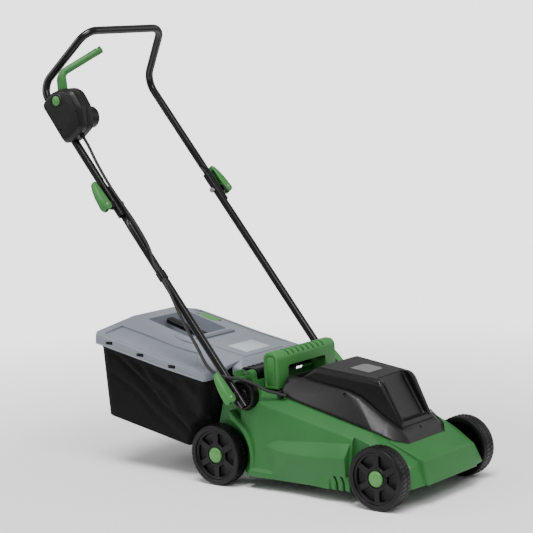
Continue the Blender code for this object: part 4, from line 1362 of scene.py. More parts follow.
def makePivots():
    for side, word in ((-1, "near"), (1, "far")):
        profile = [
            (0.0034, 0.0), (0.0034, 0.0216), (0.0105, 0.0216), (0.0115, 0.0222), (0.0135, 0.0222),
            (0.0150, 0.0205), (0.0255, 0.0205), (0.0270, 0.0225), (0.0305, 0.0225), (0.0330, 0.0212),
            (0.0340, 0.0185), (0.0340, 0.0)
        ]
        disc = turnedShape(list(reversed(profile)), 72)
        place = Matrix.Translation(
            (side * 0.1495, handlePivot.y, handlePivot.z)
        ) @ Matrix.Rotation(side * math.pi / 2, 4, "Y")
        disc.data.transform(place)
        piece(disc, f"pivotDisc_{word}", "chassis", smallBlack, [f"pivot_bracket_{word}"])
        ring = []
        for i in range(49):
            angle = 2 * math.pi * i / 48
            outward = Vector((0, math.cos(angle), math.sin(angle)))
            ring.append(
                (
                    Vector((side * 0.1705, handlePivot.y, handlePivot.z)) + outward * 0.0205,
                    Vector((side, 0, 0))
                )
            )
        teeth = grown(
            rows, [ring],
            {
                "Spacing": 0.0048, "Size": (0.0014, 0.0090, 0.0018), "Lean": 0.0, "Seed": 6,
                "Material": smallBlack
            }
        )
        piece(teeth, f"pivotTeeth_{word}", "chassis", smallBlack)


def makeRotor():
    ring = []
    for i in range(49):
        angle = 2 * math.pi * i / 48
        ring.append(
            (Vector((math.cos(angle) * 0.038, 0.172 + math.sin(angle) * 0.038, 0.0705)), Vector((0, 0, 1)))
        )
    vanes = grown(
        rows, [ring],
        {"Spacing": 0.0199, "Size": (0.0020, 0.0300, 0.0090), "Lean": 0.35, "Seed": 9, "Material": smallBlack}
    )
    piece(vanes, "fanVanes", "rotor", smallBlack)
    dress("blade", bladeSteel)
    dress("blade_bolt", zinc)
    dress("blade_carrier", smallBlack)
    dress("motor_shaft", zinc)
    dress("motor", motorPaint)
    dress("capacitor", capacitorWhite)


makeFlap()
makePivots()
makeRotor()
for name in ("front_axle", "rear_axle", "flap_rod", "flap_spring", "bag_frame"):
    dress(name, zinc)
print("flap, pivots and rotor made")


# grass box lid

lidLook = {
    "edge": 0.0050, "wall": 0.0046, "panelDepth": 0.0030, "snapY": (0.757, 0.660, 0.563), "half": 0.190
}
rimTop = [(0.190, 0.801, 0.3300), (0.190, 0.600, 0.2850), (0.190, 0.462, 0.2590)]
rimFoot = [(0.190, 0.803, 0.3030), (0.190, 0.600, 0.2620), (0.190, 0.462, 0.2380)]
rearLid = rimTop[:2] + rimFoot[:2] + [
    (0.120, 0.780, 0.3440), (0.120, 0.600, 0.3030), (0.070, 0.780, 0.3540), (0.070, 0.745, 0.3520),
    (0.070, 0.600, 0.3110), (0.070, 0.792, 0.3480)
]
frontLid = rimTop[1:] + rimFoot[1:] + [
    (0.120, 0.600, 0.3030), (0.070, 0.600, 0.3110), (0.112, 0.530, 0.2890), (0.090, 0.432, 0.2790)
]
tongue = [
    (0.116, 0.470, 0.2380), (0.116, 0.470, 0.2700), (0.090, 0.4325, 0.2780), (0.108, 0.4200, 0.2600),
    (0.108, 0.4200, 0.2480)
]
ledge = [
    (0.112, 0.3860, 0.2500), (0.112, 0.3860, 0.2565), (0.112, 0.4200, 0.2603), (0.112, 0.4400, 0.2610),
    (0.112, 0.4400, 0.2480)
]


def lidDrawnIn(points, wall, middle):
    found = []
    for x, y, z in points:
        shift = -wall if y > middle + 0.1 else (wall if y < middle - 0.1 else 0.0)
        found += [(x - wall, y + shift, z - wall), (x - wall, y + shift, z - 0.060)]
    return found


def rimHeight(y, top=True):
    # height of the rim's top or foot edge at y
    line = [(p[1], p[2]) for p in (rimTop if top else rimFoot)]
    for (y1, z1), (y2, z2) in zip(line, line[1:]):
        if y2 <= y <= y1 or y >= y1:
            return z1 + (z2 - z1) * (y - y1) / (y2 - y1)
    return line[-1][1]


def merged(first, second, y):
    # joins two hulls that share one face at y into one clean skin
    shape = bmesh.new()
    shape.from_mesh(first.data)
    shape.from_mesh(second.data)
    bmesh.ops.delete(
        shape, geom=[face for face in shape.faces if all(abs(v.co.y - y) < 1e-5 for v in face.verts)],
        context="FACES_ONLY"
    )
    bmesh.ops.remove_doubles(shape, verts=shape.verts, dist=0.00002)
    bpy.data.objects.remove(first, do_unlink=True)
    bpy.data.objects.remove(second, do_unlink=True)
    return fromBmesh("merged", shape)


def lidSurface(x, y):
    # height of the lid's side slope
    tilt = 0.258 if y >= 0.6 else 0.2205 + (0.258 - 0.2205) * max(0.0, (y - 0.53) / 0.07)
    return rimHeight(y) + (0.190 - x) * tilt


def sidePanels():
    found = []
    for side in (-1, 1):
        for corners in (
            ((0.128, 0.5995), (0.1805, 0.5995), (0.1805, 0.7780), (0.1300, 0.7660)),
            ((0.128, 0.6005), (0.1805, 0.6005), (0.1805, 0.4920), (0.1230, 0.5380))
        ):
            points = []
            for x, y in corners:
                z = lidSurface(x, y) - lidLook["panelDepth"]
                points += [(side * x, y, z), (side * x, y, z + 0.030)]
            found.append(hullShape(points, mirrored=False))
    return found


def makeLid():
    lid = softened(merged(hullShape(rearLid), hullShape(frontLid), 0.600), lidLook["edge"], 3, 9)
    lid = together(
        lid, softened(hullShape(tongue), 0.003, 2, 20), softened(hullShape(ledge), 0.001, 2, 20),
        boxShape((-0.0735, 0.6035, 0.2660), (0.0735, 0.7385, 0.3050))
    )
    well = boxShape((-0.0735, 0.6035, 0.2660), (0.0735, 0.7385, 0.4000))
    rearHollow = without(hullShape(lidDrawnIn(rearLid, lidLook["wall"], 0.5)), well)
    well = boxShape((-0.0735, 0.6035, 0.2660), (0.0735, 0.7385, 0.4000))
    frontHollow = without(hullShape(lidDrawnIn(frontLid, lidLook["wall"], 0.60)), well)
    recess = softened(boxShape((-0.0710, 0.6060, 0.2690), (0.0710, 0.7360, 0.4000)), 0.006, 3, 40)
    window = outlineShape(
        [(0.0815, 0.660), (0.1165, 0.660), (0.1165, 0.7180), (0.0815, 0.7180)], 0.20, 0.40, "Z"
    )
    slots = []
    for side in (-1, 1):
        for y in lidLook["snapY"]:
            z = (rimHeight(y) + rimHeight(y, False)) / 2 - 0.001
            low, high = sorted((side * 0.1850, side * 0.21))
            slots.append(
                softened(
                    boxShape((low, y - 0.0115, z - 0.0042), (high, y + 0.0115, z + 0.0042)), 0.0014, 2, 40
                )
            )
    lid = without(
        lid, rearHollow, frontHollow, boxShape((-0.3, 0.380, 0.0), (0.3, 0.4300, 0.2490)), recess, window,
        *slots
    )
    lid = without(lid, *sidePanels())
    return piece(lid, "lidShell", "grass_box", lidGrey, ["box_lid"], sharp=24)


def makeLidDetails():
    # rolled lip along the foot of the rim, on the two sides
    for side, word in ((-1, "near"), (1, "far")):
        line = [
            Vector((side * 0.1895, y, rimHeight(y, False) + 0.0022))
            for y in (0.466, 0.53, 0.60, 0.67, 0.74, 0.799)
        ]
        piece(
            tubeShape(smoothLine(line, 30), 0.0022, 10), f"lidLip_{word}", "grass_box", lidGrey
        )
        crease = [
            Vector((side * 0.1860, y, rimHeight(y) + 0.0012)) for y in (0.475, 0.53, 0.60, 0.67, 0.74, 0.790)
        ]
        piece(
            tubeShape(smoothLine(crease, 30), 0.0016, 8), f"lidCrease_{word}", "grass_box",
            lidGrey
        )
        latches = []
        for y in lidLook["snapY"]:
            z = (rimHeight(y) + rimHeight(y, False)) / 2 - 0.001
            low, high = sorted((side * 0.1838, side * 0.1874))
            latches.append(
                softened(
                    boxShape((low, y - 0.0060, z - 0.0024), (high, y + 0.0098, z + 0.0020)), 0.0006, 1, 40
                )
            )
        tabs = together(latches[0], *latches[1:])
        piece(tabs, f"bagTabs_{word}", "grass_box", smallBlack)
    # raised panel, bar and blank label on the front of the lid; the bar is painted in the lid's grey with
    # painted shade
    slope = math.atan2(0.3110 - 0.2790, 0.600 - 0.432)

    def onFront(low, high, base, thick, width, finish, name):
        made = softened(
            boxShape((-width, 0, 0), (width, high - low, thick)), min(thick * 0.45, 0.0016), 2, 40
        )
        start = 0.2790 + (low - 0.432) * math.tan(slope) + base
        made.data.transform(Matrix.Translation((0, low, start)) @ Matrix.Rotation(slope, 4, "X"))
        return piece(made, name, "grass_box", finish)

    onFront(0.438, 0.552, -0.0010, 0.0030, 0.072, lidGrey, "lidPanel")
    onFront(0.455, 0.512, 0.0018, 0.0006, 0.045, labelPale, "lidLabel")
    onFront(0.578, 0.592, -0.0010, 0.0056, 0.066, lidPaintedShade, "lidBar")
    # small hook-shaped clip beside the recess, painted in the lid's grey with painted shade
    hook = [
        Vector((-0.083, 0.640, 0.3170)), Vector((-0.090, 0.634, 0.3160)), Vector((-0.094, 0.622, 0.3120)),
        Vector((-0.094, 0.590, 0.3060)), Vector((-0.090, 0.560, 0.2990))
    ]
    piece(tubeShape(smoothLine(hook, 22), 0.0024, 10), "lidHook", "grass_box", lidPaintedShade)
    grip = softened(boxShape((-0.0115, -0.0620, -0.0075), (0.0115, 0.0620, 0.0075)), 0.0052, 4, 30)
    tilt = math.atan2(0.3520 - 0.3110, 0.145)
    grip.data.transform(Matrix.Translation((0.0, 0.671, 0.3190)) @ Matrix.Rotation(tilt, 4, "X"))
    piece(grip, "gripBar", "grass_box", smallBlack, ["box_grip"])
    dress("fill_indicator", brightGreen)


makeLid()
makeLidDetails()
print("lid made")


# grass bag: a sewn shell that hangs from the lid's rim and sags between its corners

bagLook = {
    "rings": 56, "around": 200, "thick": 0.0011, "sag": 0.0075, "fold": 0.0052, "corner": 0.018,
    "flare": 0.0052
}


def bagOutline(amount):
    # the bag's rounded outline at a height share, 0 at the hem and 1 at the foot, as corner points
    top = {"half": 0.1795, "front": 0.4660, "rear": 0.7965}
    foot = {"half": 0.1690, "front": 0.4900, "rear": 0.7915}
    mix = {key: top[key] + (foot[key] - top[key]) * amount for key in top}
    return mix["half"], mix["front"], mix["rear"]


def bagPoint(share, amount):
    # a point on the wall: share runs round the bag from the middle of the front
    half, front, rear = bagOutline(amount)
    radius = bagLook["corner"]
    hemZ = lambda y: 0.2365 + (y - 0.462) * (0.3000 - 0.2365) / 0.335
    footZ = lambda y: 0.0690 + (y - 0.490) * (0.1270 - 0.0690) / 0.300
    straight = [
        half - radius, rear - front - 2 * radius, 2 * (half - radius), rear - front - 2 * radius,
        half - radius
    ]
    bend = math.pi * radius / 2
    total = sum(straight) + 4 * bend
    s = share * total
    inner, ahead, behind = half - radius, front + radius, rear - radius
    legs = [
        (Vector((0, front)), Vector((1, 0)), straight[0]),
        (Vector((inner, ahead)), -90, bend),
        (Vector((half, ahead)), Vector((0, 1)), straight[1]),
        (Vector((inner, behind)), 0, bend),
        (Vector((inner, rear)), Vector((-1, 0)), straight[2]),
        (Vector((-inner, behind)), 90, bend),
        (Vector((-half, behind)), Vector((0, -1)), straight[3]),
        (Vector((-inner, ahead)), 180, bend),
        (Vector((-inner, front)), Vector((1, 0)), straight[4]),
    ]
    for base, way, length in legs:
        if s <= length or base is legs[-1][0]:
            if isinstance(way, Vector):
                flat = base + way * s
                normal = Vector((way.y, -way.x))
                middle = s / length
            else:
                angle = math.radians(way + 90 * s / length)
                flat = base + Vector((math.cos(angle), math.sin(angle))) * radius
                normal = Vector((math.cos(angle), math.sin(angle)))
                middle = 0.0
            break
        s -= length
    y = flat.y
    z = hemZ(y) + (footZ(y) - hemZ(y)) * amount
    return Vector((flat.x, flat.y, z)), normal, middle, length


def bagSag(place, normal, middle, length, amount):
    # how far the cloth moves in from its flat panel
    belly = 0.0
    if length > 0.1:
        belly = math.sin(math.pi * min(max(middle, 0), 1)) ** 0.7 * math.sin(math.pi * amount) ** 0.8
    sag = bagLook["sag"] * belly
    fold = 0.0
    if abs(normal.x) > 0.7:   # the long slanting folds on the sides
        run = (0.797 - place.y) / 0.32
        drop = amount
        for start, slope, width, depth, low, high in (
            (0.06, 0.92, 0.062, 1.0, 0.02, 0.98), (0.27, 0.62, 0.050, 0.75, 0.0, 0.72),
            (0.47, 0.78, 0.085, 0.85, 0.05, 0.80), (0.66, 0.55, 0.060, 0.6, 0.0, 0.55),
            (-0.30, 1.05, 0.070, 0.7, 0.25, 1.0), (0.30, 1.10, 0.075, 0.55, 0.45, 1.0)
        ):
            wave = noise.noise(Vector((place.y * 12, place.z * 12, start * 9))) * 0.07
            gap = run - start - drop * slope + wave
            reach = max(0.0, min(1.0, (drop - low) / 0.18)) * max(0.0, min(1.0, (high - drop) / 0.22))
            fold += depth * reach * (
                math.exp(-((gap / width) ** 2)) - 0.6
                * math.exp(-(((gap - width * 1.9) / (width * 1.3)) ** 2))
            )
    else:
        for start, width, depth in ((-0.11, 0.020, 0.6), (0.03, 0.026, 0.8), (0.12, 0.018, 0.5)):
            gap = place.x - start - (amount - 0.5) * 0.05
            fold += depth * math.exp(-((gap / width) ** 2)) * math.sin(math.pi * amount)
    small = noise.noise(place * 26) * 0.0012 + noise.noise(place * 60) * 0.0005
    return sag + bagLook["fold"] * fold + small * math.sin(math.pi * min(1, amount + 0.05))


def makeBag():
    shape = bmesh.new()
    layer = shape.loops.layers.uv.new("weave")
    rings = []
    for row in range(bagLook["rings"] + 1):
        amount = row / bagLook["rings"]
        ring = []
        for column in range(bagLook["around"]):
            place, normal, middle, length = bagPoint(column / bagLook["around"], amount)
            flat = Vector((normal.x, normal.y, 0))
            place = place - flat * (
                max(-0.0012, bagSag(place, normal, middle, length, amount) + 0.0012) - bagLook["flare"]
                * max(0.0, 1 - amount / 0.10) ** 1.5 * (0.3 if normal.y < -0.5 else 1.0)
            )
            # the cloth is tucked in round the rear wheels
            gap = min(1.0, max(0.0, (math.hypot(place.y - wheelbase, place.z - 0.070) - 0.0735) / 0.042))
            limit = 0.1425 + 0.0425 * gap * gap * (3 - 2 * gap)
            place.x = math.copysign(min(abs(place.x), limit), place.x)
            ring.append(shape.verts.new(place))
        rings.append(ring)
    # the foot closes over the wire frame and droops a little between its sides
    last = rings[-1]
    centre = Vector((0.0, 0.640, 0.0))
    for step in range(1, 15):
        share = 1 - step / 15
        ring = []
        for vertex in last:
            flat = Vector((vertex.co.x * share, centre.y + (vertex.co.y - centre.y) * share, 0))
            drop = 0.0690 + (flat.y - 0.490) * (0.1270 - 0.0690) / 0.300
            flat.z = drop - 0.0025 * math.sin(math.pi * share) + noise.noise(flat * 22) * 0.0015 + 0.0012
            ring.append(shape.verts.new(flat))
        rings.append(ring)
    for index, (first, second) in enumerate(zip(rings, rings[1:])):
        for column in range(bagLook["around"]):
            after = (column + 1) % bagLook["around"]
            face = shape.faces.new([first[column], first[after], second[after], second[column]])
            for loop, (a, b) in zip(
                face.loops,
                ((column, index), (column + 1, index), (column + 1, index + 1), (column, index + 1))
            ):
                loop[layer].uv = (a * 0.0082 * 4, b * 0.0041 * 4)
    shape.faces.new(rings[-1])
    bmesh.ops.recalc_face_normals(shape, faces=shape.faces)
    mouth = [
        face for face in shape.faces
        if face.calc_center_median().y < 0.496 and abs(
            face.calc_center_median().x
        ) < 0.110 and 0.094 < face.calc_center_median().z < 0.226 and abs(face.normal.y) > 0.6
    ]
    bmesh.ops.delete(shape, geom=mouth, context="FACES")
    if sum(face.calc_area() * face.normal.x * face.calc_center_median().x for face in shape.faces) < 0:
        bmesh.ops.reverse_faces(shape, faces=shape.faces)
    area = sum(face.calc_area() for face in shape.faces)
    bag = fromBmesh("bag", shape, outward=False)
    wall = bag.modifiers.new("wall", "SOLIDIFY")
    wall.thickness = bagLook["thick"]
    wall.offset = -1.0
    bag = applied(bag)
    made = piece(bag, "bagShell", "grass_box", bagCloth, ["grass_bag"], sharp=60)
    print("bag cloth area", round(area, 4))
    return made, area


def makeBagDetails():
    # stitches along the hem under the lid's rim, and piping down the two rear corners
    hem = []
    for column in range(161):
        place, normal = bagPoint((column % 160) / 160, 0.045)[:2]
        hem.append((place + Vector((normal.x, normal.y, 0)) * 0.0002, Vector((normal.x, normal.y, 0))))
    stitches = grown(
        rows, [hem],
        {"Spacing": 0.0060, "Size": (0.0034, 0.0006, 0.0008), "Lean": 0.0, "Seed": 8, "Material": hemCloth}
    )
    shape = bmesh.new()
    shape.from_mesh(stitches.data)
    if not shape.loops.layers.uv.get("weave"):
        shape.loops.layers.uv.new("weave")
    shape.to_mesh(stitches.data)
    shape.free()
    piece(stitches, "hemStitches", "grass_box", hemCloth)
    for word, side in (("near_rear", -1), ("far_rear", 1)):
        line = []
        for row in range(13):
            half, _, rear = bagOutline(row / 12)
            y = rear - 0.0060
            top = 0.2365 + (y - 0.462) * (0.3000 - 0.2365) / 0.335
            foot = 0.0690 + (y - 0.490) * (0.1270 - 0.0690) / 0.300
            line.append(Vector((side * (half - 0.0062), y, top + (foot - top) * row / 12)))
        piping = tubeShape(smoothLine(line, 30), 0.0017, 8)
        piping.data.uv_layers["run"].name = "weave"
        piece(piping, f"bagPiping_{word}", "grass_box", hemCloth)


bagPiece, bagArea = makeBag()
makeBagDetails()
print("bag made")


# handle

handleLook = {
    "radius": 0.0095, "wall": 0.0012, "upperX": 0.1895, "lowerX": 0.1827, "plane": 0.1870, "angle": 51.1,
    "fold": 0.5448, "switch": 0.8173, "bend": 0.8956, "grip": (0.1335, 0.831, 1.043)
}
along = Vector(
    (0.0, math.cos(math.radians(handleLook["angle"])), math.sin(math.radians(handleLook["angle"])))
)
forward = Vector((0.0, -along.z, along.y))
foldPivot = handlePivot + along * handleLook["fold"]
switchStart = handlePivot + along * handleLook["switch"]
bailAxis = Vector((0.0, 0.864, 0.882))


def onHandle(x, distance, lift, start=handlePivot):
    return Vector((x, start.y, start.z)) + along * distance + forward * lift


def roundedPath(points, radius, steps=8):
    found = [Vector(points[0])]
    for before, corner, after in zip(points, points[1:], points[2:]):
        corner = Vector(corner)
        back, on = (Vector(before) - corner).normalized(), (Vector(after) - corner).normalized()
        half = back.angle(on) / 2
        middle = corner + (back + on).normalized() * (radius / math.sin(half))
        start = corner + back * (radius / math.tan(half)) - middle
        end = corner + on * (radius / math.tan(half)) - middle
        for step in range(steps + 1):
            turned = start.slerp(end, step / steps)
            found.append(middle + turned * (radius / turned.length))
    found.append(Vector(points[-1]))
    return found


def hollowTube(points, squeeze, holes):
    bar = tubeShape(points, handleLook["radius"], 32, squeeze, capped=False)
    wall = bar.modifiers.new("wall", "SOLIDIFY")
    wall.thickness = handleLook["wall"]
    wall.offset = -1.0
    return without(applied(bar), *holes)


def boltHole(pivot):
    return rodShape((-0.3, pivot.y, pivot.z), (0.3, pivot.y, pivot.z), 0.0033, 20)


def makeHandle():
    look = handleLook
    for side, word in ((-1, "near"), (1, "far")):
        flatFrom = look["fold"] - 0.045
        flatStart, fold = flatFrom - 0.018, look["fold"]
        stations = [-0.030, 0.0, 0.1, 0.2, 0.3, 0.4, flatStart]
        stations += [flatStart + 0.003 * i for i in range(1, 7)]
        stations += [fold - 0.02, fold, fold + 0.02, fold + 0.048]

        def squeeze(place, side=side):
            share = min(1.0, max(0.0, ((place - handlePivot).dot(along) - (flatFrom - 0.018)) / 0.018))
            limit = look["plane"] - 0.0003
            x = abs(place.x)
            return Vector((side * (x + (min(x, limit) - x) * share), place.y, place.z))

        tube = hollowTube(
            [onHandle(side * look["lowerX"], s, 0) for s in stations], squeeze,
            [boltHole(handlePivot), boltHole(foldPivot)]
        )
        piece(tube, f"lowerBar_{word}", "lower_handle", tubeBlack, [f"lower_tube_{word}"])
    grip = Vector(look["grip"])
    start = onHandle(look["upperX"], look["fold"] - 0.033, 0)
    half = roundedPath(
        [start, onHandle(look["upperX"], look["bend"], 0), grip, Vector((0, grip.y, grip.z))], 0.045, 14
    )[:-1]
    steps = [
        look["fold"] - 0.015, look["fold"], look["fold"] + 0.03, look["fold"] + 0.055
    ] + [look["fold"] + 0.055 + 0.003 * i for i in range(1, 7)] + [look["fold"] + 0.15, look["fold"] + 0.25]
    half[1:1] = [onHandle(look["upperX"], s, 0) for s in steps]

    def squeezeUpper(place):
        if abs(place.x) < 0.17:
            return place
        share = 1 - min(1.0, max(0.0, ((place - handlePivot).dot(along) - look["fold"] - 0.055) / 0.018))
        limit = look["plane"] + 0.0003
        x = abs(place.x)
        return Vector((math.copysign(x + (max(x, limit) - x) * share, place.x), place.y, place.z))

    loop = hollowTube(
        half + [Vector((-p.x, p.y, p.z)) for p in reversed(half)], squeezeUpper, [boltHole(foldPivot)]
    )
    piece(loop, "upperBar", "upper_handle", tubeBlack, ["upper_handle"])
    for level in ("upper", "lower"):
        for word in ("near", "far"):
            dress(f"clamp_bolt_{level}_{word}", zinc)
            dress(f"clamp_pin_{level}_{word}", zinc)
            dress(f"clamp_saddle_{level}_{word}", smallBlack)
    dress("lead_clip", smallBlack)


def leverForm():
    sections = [
        (-0.0085, -0.0088, 0.0088, 0.0092), (0.0, -0.0123, 0.0125, 0.0102), (0.0120, -0.0121, 0.0126, 0.0106),
        (0.0300, -0.0121, 0.0105, 0.0104), (0.0480, -0.0121, 0.0062, 0.0092),
        (0.0620, -0.0119, 0.0012, 0.0074), (0.0680, -0.0110, -0.0040, 0.0056)
    ]
    points = [(x, y, z) for x, z in arcPoints((0, 0), 0.0123, 185, 345, 10) for y in (-0.0094, 0.0094)]
    for z, low, high, wide in sections:
        middle, half = (low + high) / 2, (high - low) / 2
        for i in range(16):
            angle = 2 * math.pi * i / 16
            c, s = math.cos(angle), math.sin(angle)
            points.append(
                (middle + half * math.copysign(abs(c) ** 0.55, c), wide * math.copysign(abs(s) ** 0.55, s), z)
            )
    lever = softened(hullShape(points, mirrored=False), 0.0010, 2, 35)
    slot = boxShape((-0.05, -0.0037, -0.05), (0.0062, 0.0037, 0.0062))
    trough = softened(boxShape((-0.05, -0.0058, 0.0130), (-0.0045, 0.0058, 0.0560)), 0.0015, 2, 40)
    hole = rodShape((0, -0.05, 0), (0, 0.05, 0), 0.0024, 24)
    return without(lever, slot, trough, hole)


def makeLevers():
    lever = leverForm()
    tilt = Matrix((Vector((1, 0, 0)), -forward, along)).transposed().to_4x4()
    for level, pivot, pinX in (("upper", foldPivot, 0.2220), ("lower", handlePivot, 0.2150)):
        for side, word in ((-1, "near"), (1, "far")):
            mesh = lever.data.copy()
            if side < 0:
                mesh.transform(Matrix.Diagonal((-1, 1, 1, 1)))
                mesh.flip_normals()
            centre = Vector((side * pinX, pivot.y, pivot.z))
            mesh.transform(Matrix.Translation(centre) @ tilt)
            piece(
                asObject("lever", mesh), f"leverGrip_{level}_{word}", f"lever_{level}_{word}",
                leverGreen, [f"clamp_lever_{level}_{word}"], sharp=30
            )
            rivets = []
            for end in (-1, 1):
                start = centre + forward * (end * 0.0096)
                rivets.append(
                    softened(
                        rodShape(start, centre + forward * (end * 0.0112), 0.0037, 24, 0.0030), 0.0004, 1, 40
                    )
                )
            inward = Vector((-side, 0, 0))
            path = [
                (centre + along * (0.0160 + 0.0370 * i / 20) + inward * (0.0085 - 0.002 * i / 20), inward)
                for i in range(21)
            ]
            ribs = grown(
                rows, [path],
                {
                    "Spacing": 0.0052, "Size": (0.0011, 0.0112, 0.0060), "Lean": 0.0, "Seed": 3,
                    "Material": leverGreen
                }
            )
            piece(ribs, f"leverRibs_{level}_{word}", f"lever_{level}_{word}", leverGreen)
            piece(
                together(rivets[0], rivets[1]), f"leverRivet_{level}_{word}", f"lever_{level}_{word}",
                zinc
            )
    bpy.data.objects.remove(lever, do_unlink=True)


makeHandle()
makeLevers()
print("handle made")


# switch box

switchProfile = [
    (-0.078, -0.0150), (-0.087, 0.0080), (-0.087, 0.0560), (-0.046, 0.0850), (-0.002, 0.0890),
    (0.020, 0.0740), (0.033, 0.0480), (0.041, 0.0240), (0.037, -0.0120)
]
switchLook = {
    "outer": -0.2145, "split": -0.1895, "inner": -0.1660, "chamfer": 0.0085, "corner": 0.011,
    "screws": ((0.004, 0.001), (-0.050, 0.003), (-0.048, 0.071))
}


def roundedOutline(profile, radius, steps=5):
    found = []
    for before, corner, after in zip([profile[-1]] + profile[:-1], profile, profile[1:] + [profile[0]]):
        corner = Vector(corner)
        back, on = (Vector(before) - corner), (Vector(after) - corner)
        cutBack = min(radius, back.length * 0.45, on.length * 0.45)
        start, end = corner + back.normalized() * cutBack, corner + on.normalized() * cutBack
        for step in range(steps + 1):
            t = step / steps
            found.append((1 - t) ** 2 * start + 2 * t * (1 - t) * corner + t * t * end)
    return found


def switchOutline(shrink=0.0, x=0.0):
    middle = Vector((-0.022, 0.035))
    found = []
    for place in roundedOutline(switchProfile, switchLook["corner"]):
        place += (middle - place).normalized() * shrink
        point = switchStart + along * place.x + forward * place.y
        found.append((x, point.y, point.z))
    return found


def makeSwitchBox():
    look = switchLook
    y, z = bailAxis.y, bailAxis.z
    seam = 0.0003

    def spaces(outer):
        found = [
            rodShape(
                onHandle(-handleLook["upperX"], 0.60, 0), onHandle(-handleLook["upperX"], 0.95, 0), 0.0098, 40
            ),
            rodShape((-0.2005, y, z), (-0.1785, y, z), 0.0165, 40),
            outlineShape(
                [
                    (y - 0.004, z - 0.010), (y + 0.034, z + 0.006), (y + 0.052, z + 0.060),
                    (y - 0.022, z + 0.060)
                ],
                -0.2005, -0.1785
            ),
            rodShape(
                onHandle(-0.190, -0.110, 0.0290, switchStart), onHandle(-0.190, -0.070, 0.0290, switchStart),
                0.0063, 28
            ),
        ]
        if outer:
            found.append(rodShape((-0.23, y, z), (-0.199, y, z), 0.0124, 40))
            found += [
                rodShape(
                    onHandle(-0.2125, s, n, switchStart), onHandle(-0.24, s, n, switchStart), 0.0036, 24
                ) for s,
                n in look["screws"]
            ]
        return found

    outer = hullShape(
        switchOutline(
            look["chamfer"], look["outer"]
        ) + switchOutline(0.0, look["outer"] + 0.0085) + switchOutline(0.0, look["split"] - seam),
        mirrored=False
    )
    outer = softened(outer, 0.0022, 3, 16)
    boss = turnedShape(
        [
            (0.0185, -0.0003), (0.0172, 0.0018), (0.0140, 0.0022), (0.0128, 0.0012), (0.0124, -0.004),
            (0.0185, -0.004)
        ][::-1],
        48
    )
    boss.data.transform(Matrix.Translation((look["outer"], y, z)) @ Matrix.Rotation(-math.pi / 2, 4, "Y"))
    outer = together(outer, boss)
    outer = without(outer, *spaces(True))
    piece(
        outer, "switchShellOuter", "upper_handle", caseBlack, ["switch_case_outer"], sharp=26
    )
    inner = hullShape(
        switchOutline(0.0, look["split"] + seam) + switchOutline(
            0.0, look["inner"] - 0.006
        ) + switchOutline(0.0055, look["inner"]),
        mirrored=False
    )
    inner = without(softened(inner, 0.0018, 3, 16), *spaces(False))
    piece(
        inner, "switchShellInner", "upper_handle", caseBlack, ["switch_case_inner"], sharp=26
    )
    screwsOn(
        "switchScrews", [(onHandle(-0.2130, s, n, switchStart), (-1, 0, 0)) for s, n in look["screws"]],
        "upper_handle", finish=smallBlack
    )
    button = turnedShape(
        [
            (0.0, 0.0062), (0.0070, 0.0060), (0.0104, 0.0052), (0.0118, 0.0038), (0.0121, 0.0020),
            (0.0121, -0.0060), (0.0, -0.0060)
        ],
        48, closed=False
    )
    button = without(button, boxShape((-0.0085, -0.0009, 0.0050), (0.0085, 0.0009, 0.01)))
    button.data.transform(
        Matrix.Translation((-0.2123, y, z)) @ Matrix.Rotation(-math.pi / 2, 4, "Y") @ Matrix.Rotation(
            math.radians(60), 4, "Z"
        )
    )
    piece(button, "buttonCap", "button", brightGreen, ["safety_button"])


def makeBail():
    y, z = bailAxis.y, bailAxis.z
    hub = softened(rodShape((-0.1990, y, z), (-0.1800, y, z), 0.0145, 56), 0.0015, 2, 50)
    knee, tip = Vector((-0.1895, 0.8680, 0.9450)), Vector((-0.1010, 0.8260, 0.9950))
    path = roundedPath([Vector((-0.1895, 0.8640, 0.8860)), knee, tip], 0.024, 14)
    arm = tubeShape(
        path, 0.0088, 36, radii=[0.0122 - 0.0034 * min(1.0, i / (len(path) * 0.6)) for i in range(len(path))]
    )
    for vert in arm.data.vertices:
        vert.co.x = max(vert.co.x, -0.1982)
    end = (tip - knee).normalized()
    knob = softened(rodShape(tip - end * 0.0100, tip + end * 0.0075, 0.0091, 36), 0.0020, 3, 50)
    up = (Vector((0, 0, 1)) - end * end.z).normalized()
    notch = rodShape(
        tip + end * 0.0010 + up * 0.0085 + Vector((0, -0.03, 0)),
        tip + end * 0.0010 + up * 0.0085 + Vector((0, 0.03, 0)), 0.0050, 24
    )
    lever = without(together(hub, arm, knob), notch)
    piece(lever, "bailGrip", "bail", leverGreen, ["bail_lever"], sharp=34)


def makeInlet():
    y, z = 0.8310, 0.8390
    cup = turnedShape(
        [
            (0.0245, 0.0357), (0.0258, 0.0345), (0.0264, 0.0300), (0.0264, 0.0085), (0.0285, 0.0070),
            (0.0285, 0.0002), (0.0, 0.0002), (0.0, 0.0100), (0.0195, 0.0100), (0.0198, 0.0357)
        ],
        64
    )
    cup.data.transform(Matrix.Translation((-0.1659, y, z)) @ Matrix.Rotation(math.pi / 2, 4, "Y"))
    piece(cup, "inletCup", "upper_handle", smallBlack, ["plug_inlet"], sharp=34)
    prongs = []
    for offset in (-0.0095, 0.0095):
        prongs.append(
            softened(rodShape((-0.1562, y + offset, z), (-0.1382, y + offset, z), 0.0023, 20), 0.0008, 2, 50)
        )
    piece(together(prongs[0], prongs[1]), "inletProngs", "upper_handle", zinc)
    profile = []
    for i in range(13):
        profile.append((0.0050 + 0.0009 * i / 12 + (0.0004 if i % 2 else 0.0), i / 12))
    start = onHandle(-0.190, -0.0930, 0.0290, switchStart)
    finish = onHandle(-0.190, -0.0735, 0.0290, switchStart)
    relief = tubeShape(
        [start.lerp(finish, i / 12) for i in range(13)], 0.005, 28, radii=[p[0] for p in profile]
    )
    piece(relief, "leadRelief", "upper_handle", smallBlack, ["lead_gland"])


